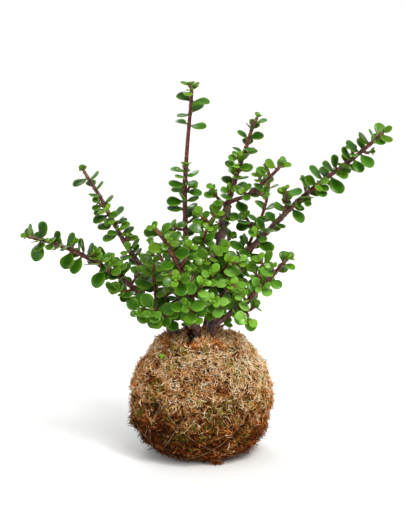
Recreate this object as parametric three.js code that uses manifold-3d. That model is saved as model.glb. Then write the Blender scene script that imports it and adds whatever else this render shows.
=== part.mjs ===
// Kokedama: a leafy succulent shrub growing from a soil ball that is wrapped in moss and bound with thread.
// Units are millimetres. +Z is up, the camera side is -Y,
// and the origin is the centre of the flat resting spot.

import * as THREE from 'three';
import { mergeVertices } from 'three/addons/utils/BufferGeometryUtils.js';
import Module from 'manifold-3d';

const wasm = await Module();
wasm.setup();

// Driving dimensions of the ball
const BALL_RADIUS = 60;
const BELLY_HEIGHT = 48;
const TOP_RISE = 62;
const BOTTOM_DROP = 50;
const BOTTOM_POWER = 2.5;
const MOSS_THICKNESS = 8;
const MOSS_RELIEF = 1.5;
const OPENING_RADIUS = 31;
const SEAT_GAP = 0.3;
const SOIL_RIM_HEIGHT = 99.5;
const SOIL_TOP_HEIGHT = 103.5;
const STEM_FOOT_HEIGHT = 78;

// Driving dimensions of the thread
const THREAD_RADIUS = 0.35;
const THREAD_CLEARANCE = 0.65;
const THREAD_STEPS = 26;
const THREAD_WRAPS = [
  { lean: 36, turn: 10 },
  { lean: 44, turn: 62 },
  { lean: 39, turn: 128 },
  { lean: 52, turn: 178 },
  { lean: 41, turn: 236 },
];

// Driving dimensions of the leaves and twigs
const LEAF_SWELL = 1.25;
const LEAF_WIDTH_SHARE = 0.39;
const LEAF_CENTRE_SHARE = 0.6;
const LEAF_CLEARANCE = 0.7;
const TWIG_RADIUS = 1.15;
const TAPER_POWER = 0.8;
const LIGHT = new THREE.Vector3(0, -0.75, 0.66).normalize();
const PLANT_SEED = 7;

const BELLY = new THREE.Vector3(0, 0, BELLY_HEIGHT);
const UP = new THREE.Vector3(0, 0, 1);
const BACK = new THREE.Vector3(0, 1, 0);
const DEGREE = Math.PI / 180;

// The limbs, from the foot or the fork to the tip, with the radius at both ends.
// spacing is the gap between leaf pairs, leaf the full leaf length, bare the leafless share at the foot,
// roll the first pair's turn about the limb, facing how far the leaves' upper sides turn to the light,
// turned how far the leaves swing across the light instead of towards it or away from it,
// open the angle between the tip's leaves and the limb, shoots the chance of a side shoot at a pair,
// and gaps the chance that a leaf has dropped.
const HABIT = {
  spacing: 10, leaf: 13.5, bare: 0.1, roll: 90, facing: 1.3, turned: 0.75, open: 34, shoots: 0, gaps: 0.1,
  seed: 0,
};

const LIMBS = [
  limb('upright_stem', 2.7, 1.9, {
    bare: 0.42, spacing: 8.5, leaf: 15, facing: 1.1, open: 60, shoots: 0.3, roll: 0, seed: 69,
  }, [
    [-13, 15, STEM_FOOT_HEIGHT], [-13, 15, 104], [-12, 15, 139], [-13, 16, 170], [-14, 18, 221],
    [-13, 19, 248],
  ]),
  limb('upright_stem', 1.9, 1.5, {
    bare: 0.42, spacing: 9, leaf: 15, facing: 1.1, open: 68, gaps: 0, roll: 60, seed: 77,
  }, [
    [-13.1, 19, 245], [-11.5, 20, 268], [-10, 21, 285], [-8, 22, 309], [-9, 22, 317],
  ]),
  limb('main_stem', 4.4, 3.4, { bare: 0.74, spacing: 9, leaf: 12.5, facing: 1.2, roll: 90, seed: 29 }, [
    [9, 1, STEM_FOOT_HEIGHT], [9, 1, 104], [10, 2, 128], [11, 3, 144], [14, 3, 169], [23, 4, 216],
  ]),
  limb('main_stem', 2.8, 1.3, { bare: 0.1, spacing: 7, leaf: 13, facing: 1.2, roll: 0, seed: 40 }, [
    [22, 4, 213], [31, 5, 243], [38, 5, 263], [44, 6, 282], [48, 6, 290],
  ]),
  limb('main_stem', 1.9, 1.3, { shoots: 0.15, roll: 60, seed: 10 }, [
    [23, 4, 217], [31, -2, 221], [38, -5, 224], [51, -12, 234], [65, -20, 249], [67, -22, 253],
  ]),
  limb('main_stem', 1.4, 1.1, { spacing: 7, leaf: 12, roll: 30, seed: 33 }, [
    [22, 4, 215], [14, -2, 222], [10, -8, 230],
  ]),
  limb('main_stem', 1.4, 1.1, { spacing: 8, leaf: 13.5, roll: 30, seed: 99 }, [
    [17, 3, 188], [8, -5, 197], [0, -10, 208],
  ]),
  limb('main_stem', 1.4, 1.1, { spacing: 7, leaf: 12, roll: 150, seed: 66 }, [
    [15, 3, 174], [6, -5, 182], [1, -10, 189],
  ]),
  limb('main_stem', 1.5, 1.1, { spacing: 9, leaf: 14, roll: 30, seed: 42 }, [
    [14, 3, 168], [9, -14, 169], [4, -26, 172],
  ]),
  limb('main_stem', 1.5, 1.1, { spacing: 9, leaf: 14.5, roll: 120, seed: 44 }, [
    [12, 3, 155], [20, -14, 163], [24, -22, 170],
  ]),
  limb('main_stem', 1.6, 1.1, { spacing: 9, leaf: 14.5, roll: 90, seed: 18 }, [
    [11, 3, 142], [12, -18, 150], [9, -34, 162],
  ]),
  limb('main_stem', 1.6, 1.1, { spacing: 9, leaf: 14.5, roll: 0, seed: 28 }, [
    [10, 3, 133], [18, -16, 141], [24, -30, 152],
  ]),
  limb('main_stem', 1.6, 1.1, { spacing: 9, leaf: 14, roll: 0, seed: 71 }, [
    [10, 2, 124], [13, -18, 131], [11, -36, 140],
  ]),
  limb('right_long_stem', 3.5, 1.5, {
    bare: 0.22, spacing: 9.5, leaf: 14, gaps: 0.4, facing: 1.5, shoots: 0.12, roll: 150, seed: 78,
  }, [
    [13, 18, STEM_FOOT_HEIGHT], [13, 18, 104], [16, 14, 129], [23, 11, 144], [31, 6, 160],
    [44, 2, 179], [66, -5, 203], [82, -9, 220], [105, -15, 240], [123, -20, 254], [141, -25, 270],
    [150, -28, 279],
  ]),
  limb('right_long_stem', 1.7, 1.1, { leaf: 13, roll: 120, seed: 96 }, [
    [38, 4, 170], [43, 14, 183], [51, 20, 199], [57, 26, 216], [60, 32, 234],
  ]),
  limb('right_long_stem', 1.3, 1, { spacing: 8, leaf: 12, roll: 150, seed: 21 }, [
    [70, -6, 207], [72, -10, 219], [71, -14, 230],
  ]),
  limb('right_low_stem', 3.4, 1.5, {
    bare: 0.35, spacing: 9.5, leaf: 14, facing: 1.3, shoots: 0.1, roll: 150, seed: 64,
  }, [
    [10, -11.5, STEM_FOOT_HEIGHT], [10, -11.5, 104], [13, -12, 114], [22, -13, 122], [35, -20, 132],
    [45, -28, 144], [56, -36, 157], [66, -44, 170], [71, -48, 177],
  ]),
  limb('right_low_stem', 1.4, 1.1, { spacing: 9, leaf: 14.5, roll: 90, seed: 47 }, [
    [34, -19, 131], [39, -30, 127], [39, -40, 124],
  ]),
  limb('right_low_stem', 1.4, 1.1, { spacing: 9, leaf: 14.5, roll: 60, seed: 91 }, [
    [45, -28, 144], [51, -22, 155], [57, -18, 162],
  ]),
  limb('front_stem', 3.6, 1.7, { bare: 0.42, spacing: 10, leaf: 14, facing: 1.3, roll: 150, seed: 35 }, [
    [-3, -15, STEM_FOOT_HEIGHT], [-3, -15, 104], [-5, -20, 127], [-11, -28, 148], [-17, -35, 166],
    [-23, -41, 178], [-30, -47, 192], [-37, -52, 202],
  ]),
  limb('front_stem', 1.4, 1.1, { spacing: 9, leaf: 14, roll: 0, seed: 100 }, [
    [-5, -21, 128], [-9, -34, 131], [-12, -46, 137],
  ]),
  limb('front_stem', 1.4, 1.1, { spacing: 9, leaf: 14, roll: 150, seed: 70 }, [
    [-14, -31, 156], [-17, -42, 157], [-20, -54, 161],
  ]),
  limb('front_stem', 1.4, 1.1, { spacing: 8, leaf: 13, roll: 120, seed: 39 }, [
    [-17, -36, 167], [-12, -40, 176], [-9, -44, 185],
  ]),
  limb('front_stem', 1.4, 1.1, { spacing: 8, leaf: 13, roll: 90, seed: 62 }, [
    [-9, -26, 140], [-2, -36, 147], [2, -44, 155],
  ]),
  limb('left_stem', 6.4, 3.6, { bare: 0.8, roll: 60, seed: 11 }, [
    [-22, -3, STEM_FOOT_HEIGHT], [-22, -3, 103.5], [-30, -6, 119], [-40, -9.5, 131],
  ]),
  limb('left_stem', 2.9, 1.4, {
    bare: 0.06, spacing: 9, leaf: 14, gaps: 0.4, facing: 1.8, shoots: 0.08, roll: 30, seed: 62,
  }, [
    [-38, -9, 129], [-57, -14, 146], [-70, -17, 157], [-83, -21, 166], [-99, -24, 176],
    [-114, -27, 183], [-129, -31, 189], [-144, -34, 193],
  ]),
  limb('left_stem', 3.2, 1.4, {
    bare: 0.2, spacing: 9.5, leaf: 13, gaps: 0.4, facing: 1.3, shoots: 0.2, roll: 30, seed: 15,
  }, [
    [-31, -6, 121], [-36, 2, 136], [-45, 6, 151], [-57, 10, 168], [-66, 13, 181], [-77, 17, 201],
    [-88, 21, 221], [-98, 25, 236], [-102, 26, 243],
  ]),
  limb('left_stem', 1.7, 1.1, { spacing: 10, leaf: 15.5, roll: 120, seed: 50 }, [
    [-35, -8, 126], [-46, -28, 130], [-51, -44, 132],
  ]),
  limb('left_stem', 1.7, 1.1, { spacing: 10, leaf: 15.5, roll: 90, seed: 55 }, [
    [-32, -7, 122], [-37, -34, 132], [-40, -52, 133],
  ]),
  limb('left_stem', 1.6, 1.1, { spacing: 10, leaf: 15.5, roll: 120, seed: 9 }, [
    [-28, -6, 117], [-29, -30, 123], [-34, -44, 126],
  ]),
  limb('left_stem', 1.6, 1.1, { spacing: 10, leaf: 15, roll: 120, seed: 70 }, [
    [-38, -9, 129], [-39, -20, 149], [-40, -30, 163],
  ]),
  limb('left_stem', 1.6, 1.1, { spacing: 10, leaf: 14.5, roll: 60, seed: 63 }, [
    [-30, -6, 119], [-30, -16, 145], [-28, -26, 162],
  ]),
  limb('left_stem', 1.4, 1.1, { spacing: 9, leaf: 13, roll: 120, seed: 43 }, [
    [-63, -15, 151], [-71, -8, 162], [-80, -4, 170],
  ]),
  limb('left_stem', 1.4, 1.1, { spacing: 9, leaf: 13, roll: 90, seed: 30 }, [
    [-57, -14, 146], [-63, -26, 145], [-70, -34, 148],
  ]),
  limb('back_left_stem', 2.6, 1.3, { bare: 0.4, roll: 30, seed: 69 }, [
    [-8, 26, STEM_FOOT_HEIGHT], [-8, 26, 104], [-14, 42, 125], [-24, 66, 142], [-38, 90, 156],
    [-46, 102, 168],
  ]),
  limb('back_left_stem', 1.6, 1.1, { leaf: 13, roll: 60, seed: 21 }, [
    [-13, 39, 122], [-34, 46, 140], [-56, 50, 152],
  ]),
  limb('back_left_stem', 1.5, 1.1, { leaf: 13, roll: 60, seed: 68 }, [
    [-20, 57, 136], [-14, 64, 152], [-10, 68, 166],
  ]),
  limb('back_right_stem', 2.6, 1.3, { bare: 0.4, roll: 30, seed: 63 }, [
    [3, 26, STEM_FOOT_HEIGHT], [3, 26, 104], [9, 42, 124], [20, 66, 138], [34, 88, 150],
    [44, 99, 160],
  ]),
  limb('back_right_stem', 1.6, 1.1, { leaf: 13, roll: 0, seed: 25 }, [
    [8, 39, 121], [30, 44, 134], [52, 50, 146],
  ]),
  limb('back_right_stem', 1.5, 1.1, { leaf: 13, roll: 30, seed: 106 }, [
    [17, 60, 134], [14, 70, 150], [15, 76, 164],
  ]),
];

function limb(node, footRadius, tipRadius, habit, points) {
  return { node, footRadius, tipRadius, habit, points };
}

// Seeded draws: the same keys always give the same number from 0 to 1
function draw(...keys) {
  let hash = 2166136261 ^ PLANT_SEED;
  for (const key of keys) {
    hash = Math.imul(hash ^ key, 16777619);
    hash ^= hash >>> 13;
    hash = Math.imul(hash, 1540483477);
    hash ^= hash >>> 15;
  }
  return (hash >>> 0) / 4294967296;
}

function spread(amount, ...keys) {
  return amount * (2 * draw(...keys) - 1);
}

// Solids
function indexedGeometry(points, faces) {
  const geometry = new THREE.BufferGeometry();
  const flat = points.flatMap((point) => [point.x, point.y, point.z]);
  geometry.setAttribute('position', new THREE.Float32BufferAttribute(flat, 3));
  geometry.setIndex(faces.flat());
  return geometry;
}

function toSolid(geometry) {
  const bare = geometry.clone();
  bare.deleteAttribute('normal');
  bare.deleteAttribute('uv');
  const merged = mergeVertices(bare, 1e-4);
  const vertProperties = new Float32Array(merged.attributes.position.array);
  const triVerts = new Uint32Array(merged.index.array);
  return new wasm.Manifold(new wasm.Mesh({ numProp: 3, vertProperties, triVerts }));
}

function toGeometry(solid) {
  const mesh = solid.getMesh();
  const geometry = new THREE.BufferGeometry();
  geometry.setAttribute('position', new THREE.BufferAttribute(mesh.vertProperties, 3));
  geometry.setIndex(new THREE.BufferAttribute(mesh.triVerts, 1));
  return geometry;
}

// A closed tube along a line of points, with a radius at each
function tubeGeometry(points, radii, sides) {
  const rings = [];
  let side = sideOf(points[1].clone().sub(points[0]).normalize());
  points.forEach((point, i) => {
    const before = points[Math.max(i - 1, 0)];
    const after = points[Math.min(i + 1, points.length - 1)];
    const along = after.clone().sub(before).normalize();
    side = side.addScaledVector(along, -side.dot(along)).normalize();
    const across = along.clone().cross(side);
    for (let k = 0; k < sides; k += 1) {
      const angle = (2 * Math.PI * k) / sides;
      rings.push(point.clone()
        .addScaledVector(side, radii[i] * Math.cos(angle))
        .addScaledVector(across, radii[i] * Math.sin(angle)));
    }
  });
  const faces = [];
  for (let i = 0; i < points.length - 1; i += 1) {
    for (let k = 0; k < sides; k += 1) {
      const a = i * sides + k;
      const b = i * sides + ((k + 1) % sides);
      faces.push([a, b, b + sides], [a, b + sides, a + sides]);
    }
  }
  const last = (points.length - 1) * sides;
  for (let k = 1; k < sides - 1; k += 1) {
    faces.push([0, k + 1, k], [last, last + k, last + k + 1]);
  }
  return indexedGeometry(rings, faces);
}

function sideOf(along) {
  const guide = Math.abs(along.dot(BACK)) > 0.95 ? UP : BACK;
  return guide.clone().addScaledVector(along, -guide.dot(along)).normalize();
}

// The ball's outside, as a distance from the belly's centre in any direction
function ballReach(direction) {
  const flat = Math.hypot(direction.x, direction.y) / BALL_RADIUS;
  if (direction.z >= 0) {
    return 1 / Math.hypot(flat, direction.z / TOP_RISE);
  }
  const sum = flat ** BOTTOM_POWER + (-direction.z / BOTTOM_DROP) ** BOTTOM_POWER;
  return sum ** (-1 / BOTTOM_POWER);
}

const TUFT_WAVES = 7;
const SHORTEST_WAVE = 15;
const WAVE_RANGE = 14;

// Lumps of moss, as a height over the ball's outside
function mossRelief(point) {
  let sum = 0;
  for (let i = 0; i < TUFT_WAVES; i += 1) {
    const turn = 2 * Math.PI * draw(901, i);
    const rise = spread(1, 902, i);
    const flat = Math.sqrt(1 - rise * rise);
    const wave = (2 * Math.PI) / (SHORTEST_WAVE + WAVE_RANGE * draw(903, i));
    const along = point.x * Math.cos(turn) * flat + point.y * Math.sin(turn) * flat + point.z * rise;
    sum += Math.sin(along * wave + 7 * draw(904, i));
  }
  return (MOSS_RELIEF * sum) / Math.sqrt(TUFT_WAVES);
}

function easeBetween(low, high, value) {
  const share = THREE.MathUtils.clamp((value - low) / (high - low), 0, 1);
  return share * share * (3 - 2 * share);
}

function mossSurface(direction) {
  const point = BELLY.clone().addScaledVector(direction, ballReach(direction));
  const keep = easeBetween(0.5, 12, point.z) * (1 - easeBetween(93, 100, point.z));
  return point.addScaledVector(direction, keep * mossRelief(point));
}

// A profile point of the ball at a slope angle, -90 at the bottom and 90 at the top, inside by an inset
function profilePoint(slope, inset) {
  const rise = Math.sin(slope * DEGREE);
  const run = Math.cos(slope * DEGREE);
  if (rise >= 0) {
    return new THREE.Vector2((BALL_RADIUS - inset) * run, BELLY_HEIGHT + (TOP_RISE - inset) * rise);
  }
  const power = 2 / BOTTOM_POWER;
  return new THREE.Vector2(
    (BALL_RADIUS - inset) * run ** power,
    BELLY_HEIGHT - (BOTTOM_DROP - inset) * (-rise) ** power,
  );
}

function slopeAtRadius(radius, inset) {
  return Math.acos(radius / (BALL_RADIUS - inset)) / DEGREE;
}

function latheAroundZ(profile, segments) {
  const geometry = new THREE.LatheGeometry(profile, segments);
  geometry.rotateX(Math.PI / 2);
  return geometry;
}

// Moss wrap: a thick bowl with a lumpy outside, a flat resting spot and an opening at the top
const MOSS_SEGMENTS = 36;
const OUTER_RINGS = 16;
const INNER_RINGS = 5;
const LIP_WIDTH = 2.5;

function restingRadius() {
  const depth = (BELLY_HEIGHT / BOTTOM_DROP) ** BOTTOM_POWER;
  return BALL_RADIUS * (1 - depth) ** (1 / BOTTOM_POWER);
}

function mossGeometry() {
  const profile = [new THREE.Vector2(0, 0), new THREE.Vector2(restingRadius(), 0)];
  const lowest = -Math.asin((BELLY_HEIGHT / BOTTOM_DROP) ** (BOTTOM_POWER / 2)) / DEGREE;
  const highest = slopeAtRadius(OPENING_RADIUS + LIP_WIDTH, 0);
  for (let i = 1; i <= OUTER_RINGS; i += 1) {
    profile.push(profilePoint(lowest + ((highest - lowest) * i) / OUTER_RINGS, 0));
  }
  const lip = profile[profile.length - 1].y;
  profile.push(new THREE.Vector2(OPENING_RADIUS, lip - LIP_WIDTH));
  profile.push(...hollowProfile(MOSS_THICKNESS).reverse());
  const geometry = latheAroundZ(profile, MOSS_SEGMENTS);
  raiseTufts(geometry);
  return toGeometry(toSolid(geometry));
}

// The hollow's profile from the bottom to the opening, which the soil repeats a gap further in
function hollowProfile(inset) {
  const top = slopeAtRadius(OPENING_RADIUS, MOSS_THICKNESS);
  const profile = [new THREE.Vector2(0, BELLY_HEIGHT - BOTTOM_DROP + inset)];
  for (let i = 1; i <= INNER_RINGS; i += 1) {
    profile.push(profilePoint(-90 + ((top + 90) * i) / INNER_RINGS, inset));
  }
  return profile;
}

function raiseTufts(geometry) {
  const positions = geometry.attributes.position;
  const point = new THREE.Vector3();
  for (let i = 0; i < positions.count; i += 1) {
    point.fromBufferAttribute(positions, i);
    const direction = point.clone().sub(BELLY).normalize();
    const inside = point.distanceTo(BELLY) < ballReach(direction) - MOSS_THICKNESS / 2;
    if (!inside && point.z > 0.01) {
      point.copy(mossSurface(direction));
      positions.setXYZ(i, point.x, point.y, point.z);
    }
  }
}

// Soil core: fills the moss, with a low dome in the opening and a plain hole for each stem
const RIM_DROP = 3;
const SHOULDER_SHARE = 0.6;
const SHOULDER_DROP = 1;
const HOLE_SIDES = 8;
const HOLE_DEPTH_SPARE = 30;

function soilGeometry() {
  const neck = OPENING_RADIUS - SEAT_GAP;
  const profile = hollowProfile(MOSS_THICKNESS + SEAT_GAP);
  profile.push(new THREE.Vector2(neck, SOIL_RIM_HEIGHT - RIM_DROP));
  profile.push(new THREE.Vector2(neck * SHOULDER_SHARE, SOIL_TOP_HEIGHT - SHOULDER_DROP));
  profile.push(new THREE.Vector2(0, SOIL_TOP_HEIGHT));
  let soil = toSolid(latheAroundZ(profile, MOSS_SEGMENTS));
  for (const stem of LIMBS.filter((each) => each.points[0][2] === STEM_FOOT_HEIGHT)) {
    soil = soil.subtract(toSolid(stemHole(stem)));
  }
  return toGeometry(soil);
}

function stemHole(stem) {
  const [x, y, foot] = stem.points[0];
  const radius = (stem.footRadius + SEAT_GAP) / Math.cos(Math.PI / HOLE_SIDES);
  const hole = new THREE.CylinderGeometry(radius, radius, HOLE_DEPTH_SPARE, HOLE_SIDES);
  hole.rotateX(Math.PI / 2);
  hole.translate(x, y, foot - SEAT_GAP + HOLE_DEPTH_SPARE / 2);
  return hole;
}

// Binding thread: closed loops round the ball that cross each other and are fused where they cross
function threadGeometry() {
  const loops = THREAD_WRAPS.map((wrap) => toSolid(loopGeometry(wrap)));
  return toGeometry(wasm.Manifold.union(loops));
}

function loopGeometry({ lean, turn }) {
  const tip = new THREE.Vector3(0, 0, 1).applyAxisAngle(new THREE.Vector3(1, 0, 0), (90 - lean) * DEGREE);
  tip.applyAxisAngle(UP, turn * DEGREE);
  const first = sideOf(tip);
  const second = tip.clone().cross(first);
  const points = [];
  for (let i = 0; i < THREAD_STEPS; i += 1) {
    const angle = (2 * Math.PI * i) / THREAD_STEPS;
    const direction = first.clone().multiplyScalar(Math.cos(angle)).addScaledVector(second, Math.sin(angle));
    points.push(BELLY.clone().addScaledVector(direction, threadReach(direction, tip)));
  }
  return ringTubeGeometry(points, THREAD_RADIUS);
}

const THREAD_FEELERS = [-6, -3, 0, 3, 6];

// The thread is taut, so it rides on the highest tufts near it, felt for at a few angles to either side
function threadReach(direction, axis) {
  let reach = 0;
  for (const swing of THREAD_FEELERS) {
    const near = direction.clone().applyAxisAngle(axis, swing * DEGREE);
    reach = Math.max(reach, mossSurface(near).distanceTo(BELLY));
  }
  return reach + THREAD_RADIUS + THREAD_CLEARANCE;
}

function ringTubeGeometry(points, radius) {
  const sides = 3;
  const rings = [];
  points.forEach((point, i) => {
    const before = points[(i + points.length - 1) % points.length];
    const after = points[(i + 1) % points.length];
    const along = after.clone().sub(before).normalize();
    const out = point.clone().sub(BELLY).normalize();
    const across = along.clone().cross(out);
    for (let k = 0; k < sides; k += 1) {
      const angle = (2 * Math.PI * k) / sides;
      rings.push(point.clone()
        .addScaledVector(out, radius * Math.cos(angle))
        .addScaledVector(across, radius * Math.sin(angle)));
    }
  });
  const faces = [];
  for (let i = 0; i < points.length; i += 1) {
    const j = (i + 1) % points.length;
    for (let k = 0; k < sides; k += 1) {
      const a = i * sides + k;
      const b = i * sides + ((k + 1) % sides);
      const c = j * sides + k;
      const d = j * sides + ((k + 1) % sides);
      faces.push([a, b, d], [a, d, c]);
    }
  }
  return indexedGeometry(rings, faces);
}

// A limb as a smooth line with lengths, so that a place and a direction can be asked for at any length
const LONG_LIMB = 60;
const LONG_STEP = 15;
const SHORT_STEP = 9;
const CURVE_STEPS = 12;
const BEAD_STEP = 2.5;
const TIP_INSET = 1.2;

function limbLine(points) {
  const route = points.map((point) => new THREE.Vector3(...point));
  const foot = points[0][2] === STEM_FOOT_HEIGHT ? [route.shift()] : [];
  const curve = new THREE.CatmullRomCurve3(route, false, 'catmullrom', 0.5);
  const smooth = measured(curve.getPoints((route.length - 1) * CURVE_STEPS));
  const step = smooth.length > LONG_LIMB ? LONG_STEP : SHORT_STEP;
  const count = Math.max(1, Math.round(smooth.length / step));
  const line = [...foot];
  for (let i = 0; i <= count; i += 1) {
    line.push(placeOn(smooth, (smooth.length * i) / count).place);
  }
  return measured(line);
}

function measured(fine) {
  const lengths = [0];
  for (let i = 1; i < fine.length; i += 1) {
    lengths.push(lengths[i - 1] + fine[i].distanceTo(fine[i - 1]));
  }
  return { fine, lengths, length: lengths[lengths.length - 1] };
}

function placeOn(line, at) {
  const { fine, lengths, length } = line;
  const wanted = THREE.MathUtils.clamp(at, 0, length);
  let i = 1;
  while (i < fine.length - 1 && lengths[i] < wanted) {
    i += 1;
  }
  const share = (wanted - lengths[i - 1]) / (lengths[i] - lengths[i - 1]);
  const place = fine[i - 1].clone().lerp(fine[i], share);
  const along = fine[i].clone().sub(fine[i - 1]).normalize();
  return { place, along };
}

function beadsAlong(line, radiusAt, owner) {
  const beads = [];
  for (let at = 0; at <= line.length; at += BEAD_STEP) {
    beads.push({ place: placeOn(line, at).place, radius: radiusAt(at), owner });
  }
  return beads;
}

// How the leaves stand and stray. Turns and openings are in degrees, and the rest are shares.
const PAIR_TURN_STRAY = 16;
const TIP_GAP_SHARE = 0.6;
const SPACING_STRAY = 0.18;
const TURN_STRAY = 12;
const TURN_STRAY_A_TRIAL = 9;
const OPENING_A_RANK = 8;
const LAST_OPENING_RANK = 4;
const OPENING_STRAY = 9;
const OPENING_STRAY_A_TRIAL = 5;
const WIDEST_OPENING = 86;
const LEAF_LIFT = 0.18;
const FACE_STRAY = 0.35;
const TIP_LEAF_SHARE = 0.6;
const GROWTH_A_RANK = 0.3;
const SMALLER_SHARE = 0.78;
const LENGTH_STRAY = 0.16;

// Pairs stand opposite each other, and each pair is turned a quarter from the last one
function leafPairs(line, habit, key) {
  const pairs = [];
  const end = line.length * habit.bare;
  let at = line.length - TIP_INSET;
  for (let i = 0; at > end; i += 1) {
    pairs.push({ at, turn: habit.roll + 90 * i + spread(PAIR_TURN_STRAY, key, i, 1), rank: i });
    const gap = habit.spacing * (i === 0 ? TIP_GAP_SHARE : 1);
    at -= gap * (1 + spread(SPACING_STRAY, key, i, 2));
  }
  return pairs;
}

const ROOT_SHARE = 0.35;
const TRIES = 6;
const SMALLER_AFTER = 3;

// A leaf's frame: its foot on the limb, its long direction, its upper side and its length
function leafPose(stem, pair, side, key, trial) {
  const { line, habit } = stem;
  const { place, along } = placeOn(line, pair.at);
  const first = sideOf(along);
  const second = along.clone().cross(first);
  const turnStray = spread(TURN_STRAY + TURN_STRAY_A_TRIAL * trial, key, side, trial, 3);
  const roll = (pair.turn + 180 * side + turnStray) * DEGREE;
  const openStray = spread(OPENING_STRAY + OPENING_STRAY_A_TRIAL * trial, key, side, trial, 4);
  const opening = habit.open + Math.min(pair.rank, LAST_OPENING_RANK) * OPENING_A_RANK + openStray;
  const openness = Math.min(opening, WIDEST_OPENING) * DEGREE;
  const out = first.multiplyScalar(Math.cos(roll)).addScaledVector(second, Math.sin(roll));
  const long = along.clone().multiplyScalar(Math.cos(openness)).addScaledVector(out, Math.sin(openness));
  long.z += LEAF_LIFT;
  long.addScaledVector(LIGHT, -habit.turned * long.dot(LIGHT)).normalize();
  const face = along.clone().addScaledVector(LIGHT, habit.facing);
  face.x += spread(FACE_STRAY, key, side, trial, 5);
  face.y += spread(FACE_STRAY, key, side, trial, 6);
  face.z += spread(FACE_STRAY, key, side, trial, 7);
  face.addScaledVector(long, -face.dot(long)).normalize();
  const grown = Math.min(1, TIP_LEAF_SHARE + GROWTH_A_RANK * pair.rank);
  const shrink = trial < SMALLER_AFTER ? 1 : SMALLER_SHARE;
  const length = habit.leaf * grown * shrink * (1 + spread(LENGTH_STRAY, key, side, 8));
  const foot = place.addScaledVector(long, ROOT_SHARE * stem.radiusAt(pair.at));
  return { foot, long, face, across: face.clone().cross(long), length };
}

const RIM_SAMPLES = 12;
const HALF_LENGTH_SHARE = 0.4;
const EDGE_CLEARANCE = 0.6 * LEAF_CLEARANCE;
const BALL_CLEARANCE = 2.5;
const FREE_ROOT = 4;
const SEARCH_SPARE = 2;

function leafSamples(leaf) {
  const centre = leaf.foot.clone().addScaledVector(leaf.long, LEAF_CENTRE_SHARE * leaf.length);
  const samples = [centre];
  for (let k = 0; k < RIM_SAMPLES; k += 1) {
    const angle = (2 * Math.PI * k) / RIM_SAMPLES;
    samples.push(centre.clone()
      .addScaledVector(leaf.long, HALF_LENGTH_SHARE * leaf.length * Math.cos(angle))
      .addScaledVector(leaf.across, LEAF_WIDTH_SHARE * leaf.length * Math.sin(angle)));
  }
  return samples;
}

// Whether a point with a radius round it comes too near to a leaf's blade
function nearBlade(point, radius, leaf) {
  const offset = point.clone().sub(leaf.samples[0]);
  const margin = radius + EDGE_CLEARANCE;
  const u = offset.dot(leaf.long) / (HALF_LENGTH_SHARE * leaf.length + margin);
  const v = offset.dot(leaf.across) / (LEAF_WIDTH_SHARE * leaf.length + margin);
  const share = u * u + v * v;
  return share < 1 && Math.abs(offset.dot(leaf.face)) < LEAF_SWELL * (1 - share) + radius + LEAF_CLEARANCE;
}

function leafFits(leaf, placed, beads, owner) {
  const reach = leaf.length;
  for (const sample of leaf.samples) {
    const direction = sample.clone().sub(BELLY);
    const distance = direction.length();
    if (distance < ballReach(direction.divideScalar(distance)) + MOSS_RELIEF + BALL_CLEARANCE) {
      return false;
    }
  }
  for (const bead of beads) {
    const gap = bead.place.distanceTo(leaf.foot);
    const own = bead.owner === owner && gap < FREE_ROOT + bead.radius;
    if (!own && gap < reach + bead.radius + SEARCH_SPARE && nearBlade(bead.place, bead.radius, leaf)) {
      return false;
    }
  }
  for (const other of placed) {
    if (other.foot.distanceTo(leaf.foot) > reach + other.length + SEARCH_SPARE) {
      continue;
    }
    if (leaf.samples.some((sample) => nearBlade(sample, 0, other))
      || other.samples.some((sample) => nearBlade(sample, 0, leaf))) {
      return false;
    }
  }
  return true;
}

// Side shoots: a short twig in the leaf's direction, with small young leaves
const FIRST_SHOOT_RANK = 2;
const SHORTEST_SHOOT = 6;
const SHOOT_RANGE = 8;
const SHOOT_BEND_SHARE = 0.55;
const SHOOT_TIP_SHARE = 0.3;
const SHOOT_CLEARANCE = 1.2;
const SHOOT_HABIT = { ...HABIT, spacing: 5, leaf: 9, bare: 0.35, facing: 0.9, gaps: 0 };

function shootFor(stem, pair, key) {
  const side = draw(key, 21) < 0.5 ? 0 : 1;
  const pose = leafPose(stem, pair, side, key + 50, 0);
  const length = SHORTEST_SHOOT + SHOOT_RANGE * draw(key, 22);
  const bend = pose.foot.clone().addScaledVector(pose.long, length * SHOOT_BEND_SHARE);
  const rise = length * SHOOT_TIP_SHARE;
  const tip = bend.clone().addScaledVector(pose.long, rise).addScaledVector(UP, rise);
  return limbLine([pose.foot.toArray(), bend.toArray(), tip.toArray()]);
}

function shootFits(line, beads, leaves, owner) {
  return beadsAlong(line, () => TWIG_RADIUS, owner).every((bead) => beads.every((other) => {
    const gap = bead.place.distanceTo(other.place);
    return other.owner === owner || gap > bead.radius + other.radius + SHOOT_CLEARANCE;
  }) && leaves.every((leaf) => !nearBlade(bead.place, bead.radius, leaf)));
}

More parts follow.
